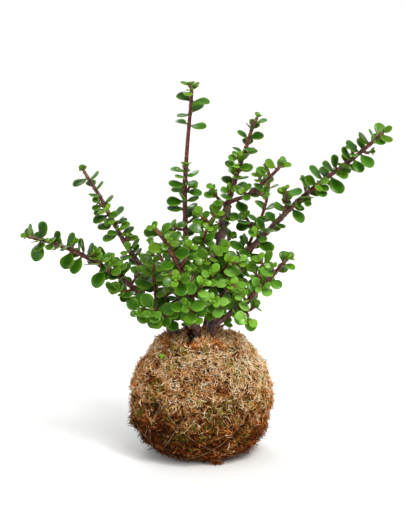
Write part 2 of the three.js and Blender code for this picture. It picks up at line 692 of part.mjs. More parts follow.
// Leaves on the long limbs whose places are chosen by eye: the centre of each and its length
const PLACED_LEAVES = {
  left_stem: [
    [-141, -39, 199, 11], [-130, -37, 201, 13], [-134, -37, 190, 16], [-136, -34, 178, 14],
    [-119, -34, 194, 10], [-118, -33, 185, 15], [-107, -32, 193, 12], [-101, -30, 185, 15],
    [-104, -30, 180, 15], [-111, -31, 172, 14], [-104, -29, 168, 16], [-92, -28, 181, 15],
    [-90, -27, 169, 18], [-86, -9, 179, 11], [-81, 10, 185, 12], [-72, -12, 167, 14],
    [-86, -25, 156, 14], [-74, -23, 157, 11], [-66, -17, 156, 12], [-75, -39, 151, 13],
    [-67, -37, 149, 14], [-61, -29, 144, 15], [-53, 2, 154, 12], [-58, 4, 164, 12], [-102, 21, 245, 9],
    [-105, 20, 233, 12], [-92, 20, 239, 11], [-87, 18, 231, 9], [-92, 17, 223, 11], [-71, 13, 208, 12],
    [-88, 13, 202, 12], [-83, 12, 196, 13], [-70, 11, 201, 12], [-57, 7, 181, 12], [-54, 6, 174, 9],
    [-65, 2, 170, 11], [-76, 15, 221, 9], [-64, 15, 197, 9], [-56, 15, 196, 10], [-91, 14, 207, 9],
  ],
  right_long_stem: [
    [152, -33, 274, 13], [146, -31, 271, 13], [140, -31, 277, 12], [130, -29, 276, 10],
    [125, -27, 267, 14], [137, -27, 255, 15], [130, -26, 251, 12], [120, -26, 261, 12],
    [118, -24, 251, 17], [111, -20, 254, 14], [96, -19, 245, 14], [113, -21, 234, 15],
    [87, -17, 236, 13], [88, -15, 224, 18], [81, -15, 228, 12], [100, -18, 228, 13], [82, -12, 208, 15],
    [59, 18, 204, 13], [57, -7, 195, 17], [67, -10, 199, 11], [49, 13, 193, 12], [66, -14, 216, 13],
    [56, -10, 180, 14], [47, -2, 170, 12], [38, 8, 185, 13], [33, -1, 172, 13], [28, 4, 181, 13],
  ],
  upright_stem: [
    [-17, 14, 244, 9], [-20, 10, 239, 9], [-25, 10, 245, 12], [-7, 14, 241, 14], [-22, 10, 233, 13],
    [-16, 13, 221, 13], [-4, 19, 225, 11], [-26, 14, 217, 12], [-23, 14, 211, 12], [-8, 13, 213, 13],
    [-2, 16, 282, 14],
  ],
};

const PLACED_FACING = 2.2;
const PLACED_STRAY = 0.3;
const PLACED_SHIFTS = [0, -2, -4, -6, 4];
const BACKWARD_COST = 3;
const LONGEST_STRETCH = 1.3;

// Such a leaf starts where its limb is about half a leaf away from the chosen centre, and reaches out to it
function placedPose(limbs, node, [x, y, z, length], key, trial) {
  const centre = new THREE.Vector3(x, y + PLACED_SHIFTS[trial], z);
  let best = { cost: Infinity };
  for (const limb of limbs.filter((each) => each.node === node)) {
    for (let at = 0; at <= limb.line.length; at += 1) {
      const { place, along } = placeOn(limb.line, at);
      const away = centre.clone().sub(place);
      const gap = away.length();
      const backward = away.dot(along) < 0 ? BACKWARD_COST : 0;
      const cost = Math.abs(gap - LEAF_CENTRE_SHARE * length) + backward;
      if (cost < best.cost) {
        best = { cost, limb, at, along, place, gap, long: away.divideScalar(gap) };
      }
    }
  }
  const face = best.along.clone().addScaledVector(LIGHT, PLACED_FACING);
  face.x += spread(PLACED_STRAY, key, trial, 5);
  face.y += spread(PLACED_STRAY, key, trial, 6);
  face.z += spread(PLACED_STRAY, key, trial, 7);
  face.addScaledVector(best.long, -face.dot(best.long)).normalize();
  const foot = best.place.clone().addScaledVector(best.long, ROOT_SHARE * best.limb.radiusAt(best.at));
  const across = face.clone().cross(best.long);
  const reach = Math.min(best.gap / LEAF_CENTRE_SHARE, LONGEST_STRETCH * length);
  return { foot, long: best.long, face, across, length: reach, owner: best.limb.key };
}

function placedLeaves(limbs, beads) {
  const leaves = [];
  for (const [node, rows] of Object.entries(PLACED_LEAVES)) {
    rows.forEach((row, index) => {
      for (let trial = 0; trial < PLACED_SHIFTS.length; trial += 1) {
        const leaf = { node, ...placedPose(limbs, node, row, index, trial) };
        leaf.samples = leafSamples(leaf);
        if (leafFits(leaf, leaves, beads, leaf.owner)) {
          leaves.push(leaf);
          return;
        }
      }
    });
  }
  return leaves;
}

// Grows every limb: the lines, the leaves with chosen places, the side shoots and then the other leaves
function growPlant() {
  const limbs = LIMBS.map((each, index) => {
    const line = limbLine(each.points);
    const habit = { ...HABIT, ...each.habit };
    const radiusAt = (at) => THREE.MathUtils.lerp(each.footRadius, each.tipRadius, taper(at / line.length));
    return { node: each.node, line, habit, radiusAt, key: (index + 1) * 1000 + habit.seed * 100000 };
  });
  const beads = limbs.flatMap((each) => beadsAlong(each.line, each.radiusAt, each.key));
  const leaves = placedLeaves(limbs, beads);
  const shoots = [];
  for (const parent of limbs) {
    leafPairs(parent.line, parent.habit, parent.key).forEach((pair) => {
      const key = parent.key + 100 + pair.rank;
      if (pair.rank < FIRST_SHOOT_RANK || draw(key, 20) > parent.habit.shoots) {
        return;
      }
      const line = shootFor(parent, pair, key);
      if (shootFits(line, beads, leaves, parent.key)) {
        const habit = { ...SHOOT_HABIT, roll: 360 * draw(key, 23) };
        const shoot = { node: parent.node, line, habit, radiusAt: () => TWIG_RADIUS, key };
        shoots.push(shoot);
        beads.push(...beadsAlong(line, shoot.radiusAt, key));
      }
    });
  }
  const stems = [...limbs, ...shoots];
  for (const stem of stems) {
    for (const pair of leafPairs(stem.line, stem.habit, stem.key)) {
      for (const side of [0, 1]) {
        const leaf = growLeaf(stem, pair, side, leaves, beads);
        if (leaf) {
          leaves.push(leaf);
        }
      }
    }
  }
  return { stems, leaves };
}

function taper(share) {
  return Math.min(1, share ** TAPER_POWER);
}

function growLeaf(stem, pair, side, placed, beads) {
  const key = stem.key + 200 + pair.rank;
  if (pair.rank > 0 && draw(key, side, 9) < stem.habit.gaps) {
    return null;
  }
  for (let trial = 0; trial < TRIES; trial += 1) {
    const leaf = leafPose(stem, pair, side, key, trial);
    leaf.samples = leafSamples(leaf);
    leaf.node = stem.node;
    if (leafFits(leaf, placed, beads, stem.key)) {
      return leaf;
    }
  }
  return null;
}

// A leaf's outline, as shares of its length along and across it
const LEAF_OUTLINE = [
  [0, 0], [0.36, 0.14], [0.7, LEAF_WIDTH_SHARE], [1, 0.2], [1, -0.2], [0.7, -LEAF_WIDTH_SHARE], [0.36, -0.14],
];

// The flat underside, as triangles between the outline's points
const LEAF_UNDERSIDE = [[0, 1, 6], [1, 5, 6], [1, 2, 5], [2, 4, 5], [2, 3, 4]];

// A leaf is swollen above and flat below, and its pointed foot is sunk into the stem
function leafGeometry(leaf) {
  const at = (u, v, w) => leaf.foot.clone()
    .addScaledVector(leaf.long, u * leaf.length)
    .addScaledVector(leaf.across, v * leaf.length)
    .addScaledVector(leaf.face, w);
  const points = LEAF_OUTLINE.map(([u, v]) => at(u, v, -LEAF_SWELL / 3));
  const top = points.push(at(LEAF_CENTRE_SHARE, 0, LEAF_SWELL)) - 1;
  const faces = LEAF_OUTLINE.map((_, i) => [i, top, (i + 1) % LEAF_OUTLINE.length]);
  return indexedGeometry(points, [...faces, ...LEAF_UNDERSIDE]);
}

// Sides of a tube: the most for a trunk and the fewest for a twig
const TRUNK_RADIUS = 3.3;
const BRANCH_RADIUS = 2.4;

function tubeSides(radius) {
  if (radius > TRUNK_RADIUS) {
    return 6;
  }
  return radius > BRANCH_RADIUS ? 5 : 4;
}

function stemGeometry(stem) {
  const radii = stem.line.lengths.map(stem.radiusAt);
  return tubeGeometry(stem.line.fine, radii, tubeSides(radii[0]));
}

function leafyStemGeometry(plant, node) {
  const stems = plant.stems.filter((stem) => stem.node === node).map((stem) => toSolid(stemGeometry(stem)));
  const leaves = plant.leaves.filter((leaf) => leaf.node === node).map((leaf) => toSolid(leafGeometry(leaf)));
  return toGeometry(wasm.Manifold.union([...stems, ...leaves]));
}

// Materials
const MOSS_LOOK = { color: 0x9a6c42, roughness: 0.95, metalness: 0 };
const SOIL_LOOK = { color: 0x2e2119, roughness: 1, metalness: 0 };
const THREAD_LOOK = { color: 0xd9cdb6, roughness: 0.45, metalness: 0 };
const LEAF_LOOK = { color: 0x4d8a3c, roughness: 0.42, metalness: 0 };

function named(name, geometry, look) {
  const mesh = new THREE.Mesh(geometry, new THREE.MeshStandardMaterial(look));
  mesh.name = name;
  return mesh;
}

const kokedama = new THREE.Group();
kokedama.add(named('moss_wrap', mossGeometry(), MOSS_LOOK));
kokedama.add(named('soil_core', soilGeometry(), SOIL_LOOK));
kokedama.add(named('binding_thread', threadGeometry(), THREAD_LOOK));

const plant = growPlant();
for (const node of new Set(LIMBS.map((each) => each.node))) {
  kokedama.add(named(node, leafyStemGeometry(plant, node), LEAF_LOOK));
}

export default kokedama;
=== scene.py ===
"""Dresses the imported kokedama: fine leaves, bark, moss strands, thread and soil on the same growth rule."""

import math

import bmesh
import bpy
import numpy as np
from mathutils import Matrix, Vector


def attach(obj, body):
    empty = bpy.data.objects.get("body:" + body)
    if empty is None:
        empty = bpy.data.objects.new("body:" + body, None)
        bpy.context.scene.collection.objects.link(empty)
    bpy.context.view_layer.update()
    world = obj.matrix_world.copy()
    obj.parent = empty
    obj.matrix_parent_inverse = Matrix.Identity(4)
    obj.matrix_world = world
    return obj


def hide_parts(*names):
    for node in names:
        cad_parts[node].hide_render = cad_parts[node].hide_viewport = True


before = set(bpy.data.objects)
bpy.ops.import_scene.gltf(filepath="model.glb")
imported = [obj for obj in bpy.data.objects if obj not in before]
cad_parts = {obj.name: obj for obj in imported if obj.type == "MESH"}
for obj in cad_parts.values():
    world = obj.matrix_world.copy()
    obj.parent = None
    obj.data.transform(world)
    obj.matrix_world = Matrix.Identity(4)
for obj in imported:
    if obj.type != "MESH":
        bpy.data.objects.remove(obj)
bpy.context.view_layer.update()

MM = 0.001

# Ball, as in the CAD source, in millimetres
BALL_RADIUS = 60
BELLY_HEIGHT = 48
TOP_RISE = 62
BOTTOM_DROP = 50
BOTTOM_POWER = 2.5
MOSS_RELIEF = 1.5
TUFT_WAVES = 7
SHORTEST_WAVE = 15
WAVE_RANGE = 14
OPENING_RADIUS = 31
SOIL_RIM = 99.5
SOIL_TOP = 103.5
FOOT = 78
THREAD_WRAPS = [(36, 10), (44, 62), (39, 128), (52, 178), (41, 236)]
THREAD_FEELERS = (-6, -3, 3, 6)

# Limbs and leaves, as in the CAD source
LONG_LIMB = 60
LONG_STEP = 15
SHORT_STEP = 9
CURVE_STEPS = 12
BEAD_STEP = 2.5
TIP_INSET = 1.2
TAPER_POWER = 0.8
TWIG_RADIUS = 1.15
LEAF_SWELL = 1.25
LEAF_WIDTH_SHARE = 0.39
LEAF_CENTRE_SHARE = 0.6
HALF_LENGTH_SHARE = 0.4
LEAF_CLEARANCE = 0.7
EDGE_CLEARANCE = 0.6 * LEAF_CLEARANCE
BALL_CLEARANCE = 2.5
RIM_SAMPLES = 12
FREE_ROOT = 4
SEARCH_SPARE = 2
ROOT_SHARE = 0.35
TRIES = 6
SMALLER_AFTER = 3
SMALLER_SHARE = 0.78
PAIR_TURN_STRAY = 16
TIP_GAP_SHARE = 0.6
SPACING_STRAY = 0.18
TURN_STRAY = 12
TURN_STRAY_A_TRIAL = 9
OPENING_A_RANK = 8
LAST_OPENING_RANK = 4
OPENING_STRAY = 9
OPENING_STRAY_A_TRIAL = 5
WIDEST_OPENING = 86
LEAF_LIFT = 0.18
FACE_STRAY = 0.35
TIP_LEAF_SHARE = 0.6
GROWTH_A_RANK = 0.3
LENGTH_STRAY = 0.16
FIRST_SHOOT_RANK = 2
SHORTEST_SHOOT = 6
SHOOT_RANGE = 8
SHOOT_BEND_SHARE = 0.55
SHOOT_TIP_SHARE = 0.3
SHOOT_CLEARANCE = 1.2

BELLY = (0.0, 0.0, float(BELLY_HEIGHT))
UP = (0.0, 0.0, 1.0)
BACK = (0.0, 1.0, 0.0)

HABIT = dict(spacing=10, leaf=13.5, bare=0.1, roll=90, facing=1.3, turned=0.75, open=34, shoots=0, gaps=0.1)
SHOOT_HABIT = {**HABIT, "spacing": 5, "leaf": 9, "bare": 0.35, "facing": 0.9, "gaps": 0}


def limb(foot_radius, tip_radius, *points, **habit):
    return dict(foot=foot_radius, tip=tip_radius, habit={**HABIT, **habit}, points=points)


def twig(foot_radius, *points, **habit):
    return limb(foot_radius, 1.1, *points, **habit)


# Radii at foot and tip, points traced on the photo or guessed, and a seed found by comparing with the photo
LIMBS = {
    "upright_stem": [
        limb(2.7, 1.9, (-13, 15, FOOT), (-13, 15, 104), (-12, 15, 139), (-13, 16, 170), (-14, 18, 221),
             (-13, 19, 248), bare=0.42, spacing=8.5, leaf=15, facing=1.1, open=60, shoots=0.3, roll=0,
             seed=69),
        limb(1.9, 1.5, (-13.1, 19, 245), (-11.5, 20, 268), (-10, 21, 285), (-8, 22, 309), (-9, 22, 317),
             bare=0.42, spacing=9, leaf=15, facing=1.1, open=68, gaps=0, roll=60, seed=77),
    ],
    "main_stem": [
        limb(4.4, 3.4, (9, 1, FOOT), (9, 1, 104), (10, 2, 128), (11, 3, 144), (14, 3, 169), (23, 4, 216),
             bare=0.74, spacing=9, leaf=12.5, facing=1.2, roll=90, seed=29),
        limb(2.8, 1.3, (22, 4, 213), (31, 5, 243), (38, 5, 263), (44, 6, 282), (48, 6, 290), bare=0.1,
             spacing=7, leaf=13, facing=1.2, roll=0, seed=40),
        limb(1.9, 1.3, (23, 4, 217), (31, -2, 221), (38, -5, 224), (51, -12, 234), (65, -20, 249),
             (67, -22, 253), shoots=0.15, roll=60, seed=10),
        twig(1.4, (22, 4, 215), (14, -2, 222), (10, -8, 230), spacing=7, leaf=12, roll=30, seed=33),
        twig(1.4, (17, 3, 188), (8, -5, 197), (0, -10, 208), spacing=8, leaf=13.5, roll=30, seed=99),
        twig(1.4, (15, 3, 174), (6, -5, 182), (1, -10, 189), spacing=7, leaf=12, roll=150, seed=66),
        twig(1.5, (14, 3, 168), (9, -14, 169), (4, -26, 172), spacing=9, leaf=14, roll=30, seed=42),
        twig(1.5, (12, 3, 155), (20, -14, 163), (24, -22, 170), spacing=9, leaf=14.5, roll=120, seed=44),
        twig(1.6, (11, 3, 142), (12, -18, 150), (9, -34, 162), spacing=9, leaf=14.5, roll=90, seed=18),
        twig(1.6, (10, 3, 133), (18, -16, 141), (24, -30, 152), spacing=9, leaf=14.5, roll=0, seed=28),
        twig(1.6, (10, 2, 124), (13, -18, 131), (11, -36, 140), spacing=9, leaf=14, roll=0, seed=71),
    ],
    "right_long_stem": [
        limb(3.5, 1.5, (13, 18, FOOT), (13, 18, 104), (16, 14, 129), (23, 11, 144), (31, 6, 160),
             (44, 2, 179), (66, -5, 203), (82, -9, 220), (105, -15, 240), (123, -20, 254), (141, -25, 270),
             (150, -28, 279), bare=0.22, spacing=9.5, leaf=14, gaps=0.4, facing=1.5, shoots=0.12, roll=150,
             seed=78),
        twig(1.7, (38, 4, 170), (43, 14, 183), (51, 20, 199), (57, 26, 216), (60, 32, 234), leaf=13, roll=120,
             seed=96),
        limb(1.3, 1, (70, -6, 207), (72, -10, 219), (71, -14, 230), spacing=8, leaf=12, roll=150, seed=21),
    ],
    "right_low_stem": [
        limb(3.4, 1.5, (10, -11.5, FOOT), (10, -11.5, 104), (13, -12, 114), (22, -13, 122), (35, -20, 132),
             (45, -28, 144), (56, -36, 157), (66, -44, 170), (71, -48, 177), bare=0.35, spacing=9.5, leaf=14,
             facing=1.3, shoots=0.1, roll=150, seed=64),
        twig(1.4, (34, -19, 131), (39, -30, 127), (39, -40, 124), spacing=9, leaf=14.5, roll=90, seed=47),
        twig(1.4, (45, -28, 144), (51, -22, 155), (57, -18, 162), spacing=9, leaf=14.5, roll=60, seed=91),
    ],
    "front_stem": [
        limb(3.6, 1.7, (-3, -15, FOOT), (-3, -15, 104), (-5, -20, 127), (-11, -28, 148), (-17, -35, 166),
             (-23, -41, 178), (-30, -47, 192), (-37, -52, 202), bare=0.42, spacing=10, leaf=14, facing=1.3,
             roll=150, seed=35),
        twig(1.4, (-5, -21, 128), (-9, -34, 131), (-12, -46, 137), spacing=9, leaf=14, roll=0, seed=100),
        twig(1.4, (-14, -31, 156), (-17, -42, 157), (-20, -54, 161), spacing=9, leaf=14, roll=150, seed=70),
        twig(1.4, (-17, -36, 167), (-12, -40, 176), (-9, -44, 185), spacing=8, leaf=13, roll=120, seed=39),
        twig(1.4, (-9, -26, 140), (-2, -36, 147), (2, -44, 155), spacing=8, leaf=13, roll=90, seed=62),
    ],
    "left_stem": [
        limb(6.4, 3.6, (-22, -3, FOOT), (-22, -3, 103.5), (-30, -6, 119), (-40, -9.5, 131), bare=0.8, roll=60,
             seed=11),
        limb(2.9, 1.4, (-38, -9, 129), (-57, -14, 146), (-70, -17, 157), (-83, -21, 166), (-99, -24, 176),
             (-114, -27, 183), (-129, -31, 189), (-144, -34, 193), bare=0.06, spacing=9, leaf=14, gaps=0.4,
             facing=1.8, shoots=0.08, roll=30, seed=62),
        limb(3.2, 1.4, (-31, -6, 121), (-36, 2, 136), (-45, 6, 151), (-57, 10, 168), (-66, 13, 181),
             (-77, 17, 201), (-88, 21, 221), (-98, 25, 236), (-102, 26, 243), bare=0.2, spacing=9.5, leaf=13,
             gaps=0.4, facing=1.3, shoots=0.2, roll=30, seed=15),
        twig(1.7, (-35, -8, 126), (-46, -28, 130), (-51, -44, 132), spacing=10, leaf=15.5, roll=120, seed=50),
        twig(1.7, (-32, -7, 122), (-37, -34, 132), (-40, -52, 133), spacing=10, leaf=15.5, roll=90, seed=55),
        twig(1.6, (-28, -6, 117), (-29, -30, 123), (-34, -44, 126), spacing=10, leaf=15.5, roll=120, seed=9),
        twig(1.6, (-38, -9, 129), (-39, -20, 149), (-40, -30, 163), spacing=10, leaf=15, roll=120, seed=70),
        twig(1.6, (-30, -6, 119), (-30, -16, 145), (-28, -26, 162), spacing=10, leaf=14.5, roll=60, seed=63),
        twig(1.4, (-63, -15, 151), (-71, -8, 162), (-80, -4, 170), spacing=9, leaf=13, roll=120, seed=43),
        twig(1.4, (-57, -14, 146), (-63, -26, 145), (-70, -34, 148), spacing=9, leaf=13, roll=90, seed=30),
    ],
    "back_left_stem": [
        limb(2.6, 1.3, (-8, 26, FOOT), (-8, 26, 104), (-14, 42, 125), (-24, 66, 142), (-38, 90, 156),
             (-46, 102, 168), bare=0.4, roll=30, seed=69),
        twig(1.6, (-13, 39, 122), (-34, 46, 140), (-56, 50, 152), leaf=13, roll=60, seed=21),
        twig(1.5, (-20, 57, 136), (-14, 64, 152), (-10, 68, 166), leaf=13, roll=60, seed=68),
    ],
    "back_right_stem": [
        limb(2.6, 1.3, (3, 26, FOOT), (3, 26, 104), (9, 42, 124), (20, 66, 138), (34, 88, 150), (44, 99, 160),
             bare=0.4, roll=30, seed=63),
        twig(1.6, (8, 39, 121), (30, 44, 134), (52, 50, 146), leaf=13, roll=0, seed=25),
        twig(1.5, (17, 60, 134), (14, 70, 150), (15, 76, 164), leaf=13, roll=30, seed=106),
    ],
}

# Leaves worked out from points picked on the photo: centre and length, and which ones are young
PLACED_LEAVES = {
    "left_stem": [
        (-141, -39, 199, 11), (-130, -37, 201, 13), (-134, -37, 190, 16), (-136, -34, 178, 14),
        (-119, -34, 194, 10), (-118, -33, 185, 15), (-107, -32, 193, 12), (-101, -30, 185, 15),
        (-104, -30, 180, 15), (-111, -31, 172, 14), (-104, -29, 168, 16), (-92, -28, 181, 15),
        (-90, -27, 169, 18), (-86, -9, 179, 11), (-81, 10, 185, 12), (-72, -12, 167, 14),
        (-86, -25, 156, 14), (-74, -23, 157, 11), (-66, -17, 156, 12), (-75, -39, 151, 13),
        (-67, -37, 149, 14), (-61, -29, 144, 15), (-53, 2, 154, 12), (-58, 4, 164, 12),
        (-102, 21, 245, 9), (-105, 20, 233, 12), (-92, 20, 239, 11), (-87, 18, 231, 9),
        (-92, 17, 223, 11), (-71, 13, 208, 12), (-88, 13, 202, 12), (-83, 12, 196, 13),
        (-70, 11, 201, 12), (-57, 7, 181, 12), (-54, 6, 174, 9), (-65, 2, 170, 11), (-76, 15, 221, 9),
        (-64, 15, 197, 9), (-56, 15, 196, 10), (-91, 14, 207, 9),
    ],
    "right_long_stem": [
        (152, -33, 274, 13), (146, -31, 271, 13), (140, -31, 277, 12), (130, -29, 276, 10),
        (125, -27, 267, 14), (137, -27, 255, 15), (130, -26, 251, 12), (120, -26, 261, 12),
        (118, -24, 251, 17), (111, -20, 254, 14), (96, -19, 245, 14), (113, -21, 234, 15),
        (87, -17, 236, 13), (88, -15, 224, 18), (81, -15, 228, 12), (100, -18, 228, 13),
        (82, -12, 208, 15), (59, 18, 204, 13), (57, -7, 195, 17), (67, -10, 199, 11), (49, 13, 193, 12),
        (66, -14, 216, 13), (56, -10, 180, 14), (47, -2, 170, 12), (38, 8, 185, 13), (33, -1, 172, 13),
        (28, 4, 181, 13),
    ],
    "upright_stem": [
        (-17, 14, 244, 9), (-20, 10, 239, 9), (-25, 10, 245, 12), (-7, 14, 241, 14), (-22, 10, 233, 13),
        (-16, 13, 221, 13), (-4, 19, 225, 11), (-26, 14, 217, 12), (-23, 14, 211, 12), (-8, 13, 213, 13),
        (-2, 16, 282, 14),
    ],
}
YOUNG_PLACED = {"left_stem": [0, 14, 24, 36], "right_long_stem": [0], "upright_stem": [0, 1]}
PLACED_FACING = 2.2
PLACED_STRAY = 0.3
PLACED_SHIFTS = (0, -2, -4, -6, 4)
BACKWARD_COST = 3
LONGEST_STRETCH = 1.3


# Vectors as plain tuples, because the rule compares numbers as the CAD source does
def plus(a, b, share=1.0):
    return (a[0] + b[0] * share, a[1] + b[1] * share, a[2] + b[2] * share)


def scaled(a, share):
    return (a[0] * share, a[1] * share, a[2] * share)


def dot(a, b):
    return a[0] * b[0] + a[1] * b[1] + a[2] * b[2]


def cross(a, b):
    return (a[1] * b[2] - a[2] * b[1], a[2] * b[0] - a[0] * b[2], a[0] * b[1] - a[1] * b[0])


def unit(a):
    length = math.sqrt(dot(a, a))
    return (a[0] / length, a[1] / length, a[2] / length)


def apart(a, b):
    return math.sqrt((a[0] - b[0]) ** 2 + (a[1] - b[1]) ** 2 + (a[2] - b[2]) ** 2)


def between(first, second, degrees):
    """The direction at an angle from the first towards the second, which is square to it."""
    angle = math.radians(degrees)
    return plus(scaled(first, math.cos(angle)), second, math.sin(angle))


def side_of(along):
    guide = UP if abs(dot(along, BACK)) > 0.95 else BACK
    return unit(plus(guide, along, -dot(guide, along)))


def sideways(along, degrees):
    """A direction square to a limb, turned round it."""
    first = side_of(along)
    return between(first, cross(along, first), degrees)


def lerp(a, b, share):
    return a + (b - a) * share


def clamp(value):
    return min(1, max(0, value))


LIGHT = unit((0.0, -0.75, 0.66))
PLANT_SEED = 7
HASH_START = 2166136261
HASH_STEP = 16777619
HASH_STIR = 1540483477
WORD = 0xFFFFFFFF


def draw(*keys):
    """A fixed random number from 0 to 1 for whole numbers, the same as in the CAD source."""
    value = HASH_START ^ PLANT_SEED
    for key in keys:
        value = ((value ^ key) * HASH_STEP) & WORD
        value ^= value >> 13
        value = (value * HASH_STIR) & WORD
        value ^= value >> 15
    return value / (WORD + 1)


def spread(amount, *keys):
    return amount * (2 * draw(*keys) - 1)


# Many points at once
def unit_rows(rows):
    return rows / np.linalg.norm(rows, axis=-1, keepdims=True)


def distances(points, place):
    return np.sqrt(((points - np.array(place)) ** 2).sum(axis=-1))


def around(count):
    return 2 * np.pi * np.arange(count) / count


def ease(low, high, value):
    share = np.clip((value - low) / (high - low), 0, 1)
    return share * share * (3 - 2 * share)


def bell(offset, reach, power=2):
    """1 where the offset is nothing, falling off to nothing beyond the reach."""
    return np.exp(-(np.abs(offset / reach) ** power))


# The ball's outside
def ball_reach(directions):
    flat = np.hypot(directions[..., 0], directions[..., 1]) / BALL_RADIUS
    rise = directions[..., 2]
    above = 1 / np.hypot(flat, rise / TOP_RISE)
    down = flat**BOTTOM_POWER + (np.maximum(-rise, 0) / BOTTOM_DROP) ** BOTTOM_POWER
    return np.where(rise >= 0, above, np.maximum(down, 1e-12) ** (-1 / BOTTOM_POWER))


def moss_relief(points):
    total = np.zeros(points.shape[:-1])
    for i in range(TUFT_WAVES):
        turn = 2 * math.pi * draw(901, i)
        rise = spread(1, 902, i)
        flat = math.sqrt(1 - rise * rise)
        wave = 2 * math.pi / (SHORTEST_WAVE + WAVE_RANGE * draw(903, i))
        along = points @ np.array([math.cos(turn) * flat, math.sin(turn) * flat, rise])
        total += np.sin(along * wave + 7 * draw(904, i))
    return MOSS_RELIEF * total / math.sqrt(TUFT_WAVES)


def moss_surface(directions):
    points = np.array(BELLY) + directions * ball_reach(directions)[..., None]
    keep = ease(0.5, 12, points[..., 2]) * (1 - ease(93, 100, points[..., 2]))
    return points + directions * (keep * moss_relief(points))[..., None]


# Lines of the limbs
def catmull(route):
    last = len(route) - 1
    total = last * CURVE_STEPS
    made = []
    for step in range(total + 1):
        where = last * (step / total)
        i = min(int(math.floor(where)), last - 1)
        share = where - i
        here, there = route[i], route[i + 1]
        before = route[i - 1] if i > 0 else plus(plus(here, there, -1), here)
        after = route[i + 2] if i + 1 < last else plus(plus(there, here, -1), there)
        square, cube = share * share, share * share * share
        point = []
        for a, b, ahead, behind in zip(here, there, after, before):
            out, into = 0.5 * (b - behind), 0.5 * (ahead - a)
            point.append(a + out * share + (3 * b - 3 * a - 2 * out - into) * square
                         + (2 * a - 2 * b + out + into) * cube)
        made.append(tuple(point))
    return made


def measured(points):
    lengths = [0.0]
    for before, point in zip(points, points[1:]):
        lengths.append(lengths[-1] + apart(point, before))
    return dict(points=points, lengths=lengths, length=lengths[-1])


def place_on(line, at):
    """The place at a length along a line, and the line's direction there."""
    points, lengths = line["points"], line["lengths"]
    wanted = min(max(at, 0), line["length"])
    i = 1
    while i < len(points) - 1 and lengths[i] < wanted:
        i += 1
    share = (wanted - lengths[i - 1]) / (lengths[i] - lengths[i - 1])
    gap = plus(points[i], points[i - 1], -1)
    return plus(points[i - 1], gap, share), unit(gap)


def limb_line(points):
    """The CAD's coarse line of a limb, with the smooth curve that it lies on."""
    route = [tuple(float(v) for v in point) for point in points]
    foot = [route.pop(0)] if points[0][2] == FOOT else []
    smooth = measured(catmull(route))
    step = LONG_STEP if smooth["length"] > LONG_LIMB else SHORT_STEP
    count = max(1, int(math.floor(smooth["length"] / step + 0.5)))
    line = foot + [place_on(smooth, smooth["length"] * i / count)[0] for i in range(count + 1)]
    return {**measured(line), "smooth": foot + smooth["points"]}


def radius_at(stem, at):
    return lerp(stem["foot"], stem["tip"], min(1, (at / stem["line"]["length"]) ** TAPER_POWER))


def beads_along(stem):
    """Balls along a limb, each as a place, a radius and the limb's key, to test for room."""
    beads, at = [], 0.0
    while at <= stem["line"]["length"]:
        beads.append((*place_on(stem["line"], at)[0], radius_at(stem, at), stem["key"]))
        at += BEAD_STEP
    return beads


# The leaf rule
def leaf_pairs(line, habit, key):
    pairs, rank, at = [], 0, line["length"] - TIP_INSET
    while at > line["length"] * habit["bare"]:
        turn = habit["roll"] + 90 * rank + spread(PAIR_TURN_STRAY, key, rank, 1)
        pairs.append(dict(at=at, turn=turn, rank=rank))
        gap = habit["spacing"] * (TIP_GAP_SHARE if rank == 0 else 1)
        at -= gap * (1 + spread(SPACING_STRAY, key, rank, 2))
        rank += 1
    return pairs


def strayed(face, amount, *keys):
    return tuple(face[axis] + spread(amount, *keys, 5 + axis) for axis in range(3))


def framed(foot, long, face, length):
    """A leaf with its face turned square to its length."""
    face = unit(plus(face, long, -dot(face, long)))
    return dict(foot=foot, long=long, face=face, across=cross(face, long), length=length)


def leaf_pose(stem, pair, side, key, trial):
    habit, rank = stem["habit"], pair["rank"]
    place, along = place_on(stem["line"], pair["at"])
    turn_stray = spread(TURN_STRAY + TURN_STRAY_A_TRIAL * trial, key, side, trial, 3)
    out = sideways(along, pair["turn"] + 180 * side + turn_stray)
    opening_stray = spread(OPENING_STRAY + OPENING_STRAY_A_TRIAL * trial, key, side, trial, 4)
    opening = habit["open"] + min(rank, LAST_OPENING_RANK) * OPENING_A_RANK + opening_stray
    long = unit(plus(between(along, out, min(opening, WIDEST_OPENING)), UP, LEAF_LIFT))
    long = unit(plus(long, LIGHT, -habit["turned"] * dot(long, LIGHT)))
    face = strayed(plus(along, LIGHT, habit["facing"]), FACE_STRAY, key, side, trial)
    young = min(1, TIP_LEAF_SHARE + GROWTH_A_RANK * rank)
    shrink = 1 if trial < SMALLER_AFTER else SMALLER_SHARE
    length = habit["leaf"] * young * shrink * (1 + spread(LENGTH_STRAY, key, side, 8))
    foot = plus(place, long, ROOT_SHARE * radius_at(stem, pair["at"]))
    return framed(foot, long, face, length)


def leaf_samples(leaf):
    """The middle of a leaf and points on its rim."""
    centre = plus(leaf["foot"], leaf["long"], LEAF_CENTRE_SHARE * leaf["length"])
    samples = [centre]
    for k in range(RIM_SAMPLES):
        angle = 2 * math.pi * k / RIM_SAMPLES
        point = plus(centre, leaf["long"], HALF_LENGTH_SHARE * leaf["length"] * math.cos(angle))
        samples.append(plus(point, leaf["across"], LEAF_WIDTH_SHARE * leaf["length"] * math.sin(angle)))
    return np.array(samples)


def near_blade(points, radii, leaf, slim=1.0):
    offset = points - leaf["samples"][0]
    margin = radii + EDGE_CLEARANCE * slim
    u = offset @ np.array(leaf["long"]) / (HALF_LENGTH_SHARE * leaf["length"] + margin)
    v = offset @ np.array(leaf["across"]) / (LEAF_WIDTH_SHARE * leaf["length"] + margin)
    share = u * u + v * v
    high = np.abs(offset @ np.array(leaf["face"]))
    return np.any((share < 1) & (high < (LEAF_SWELL * (1 - share) + LEAF_CLEARANCE) * slim + radii))


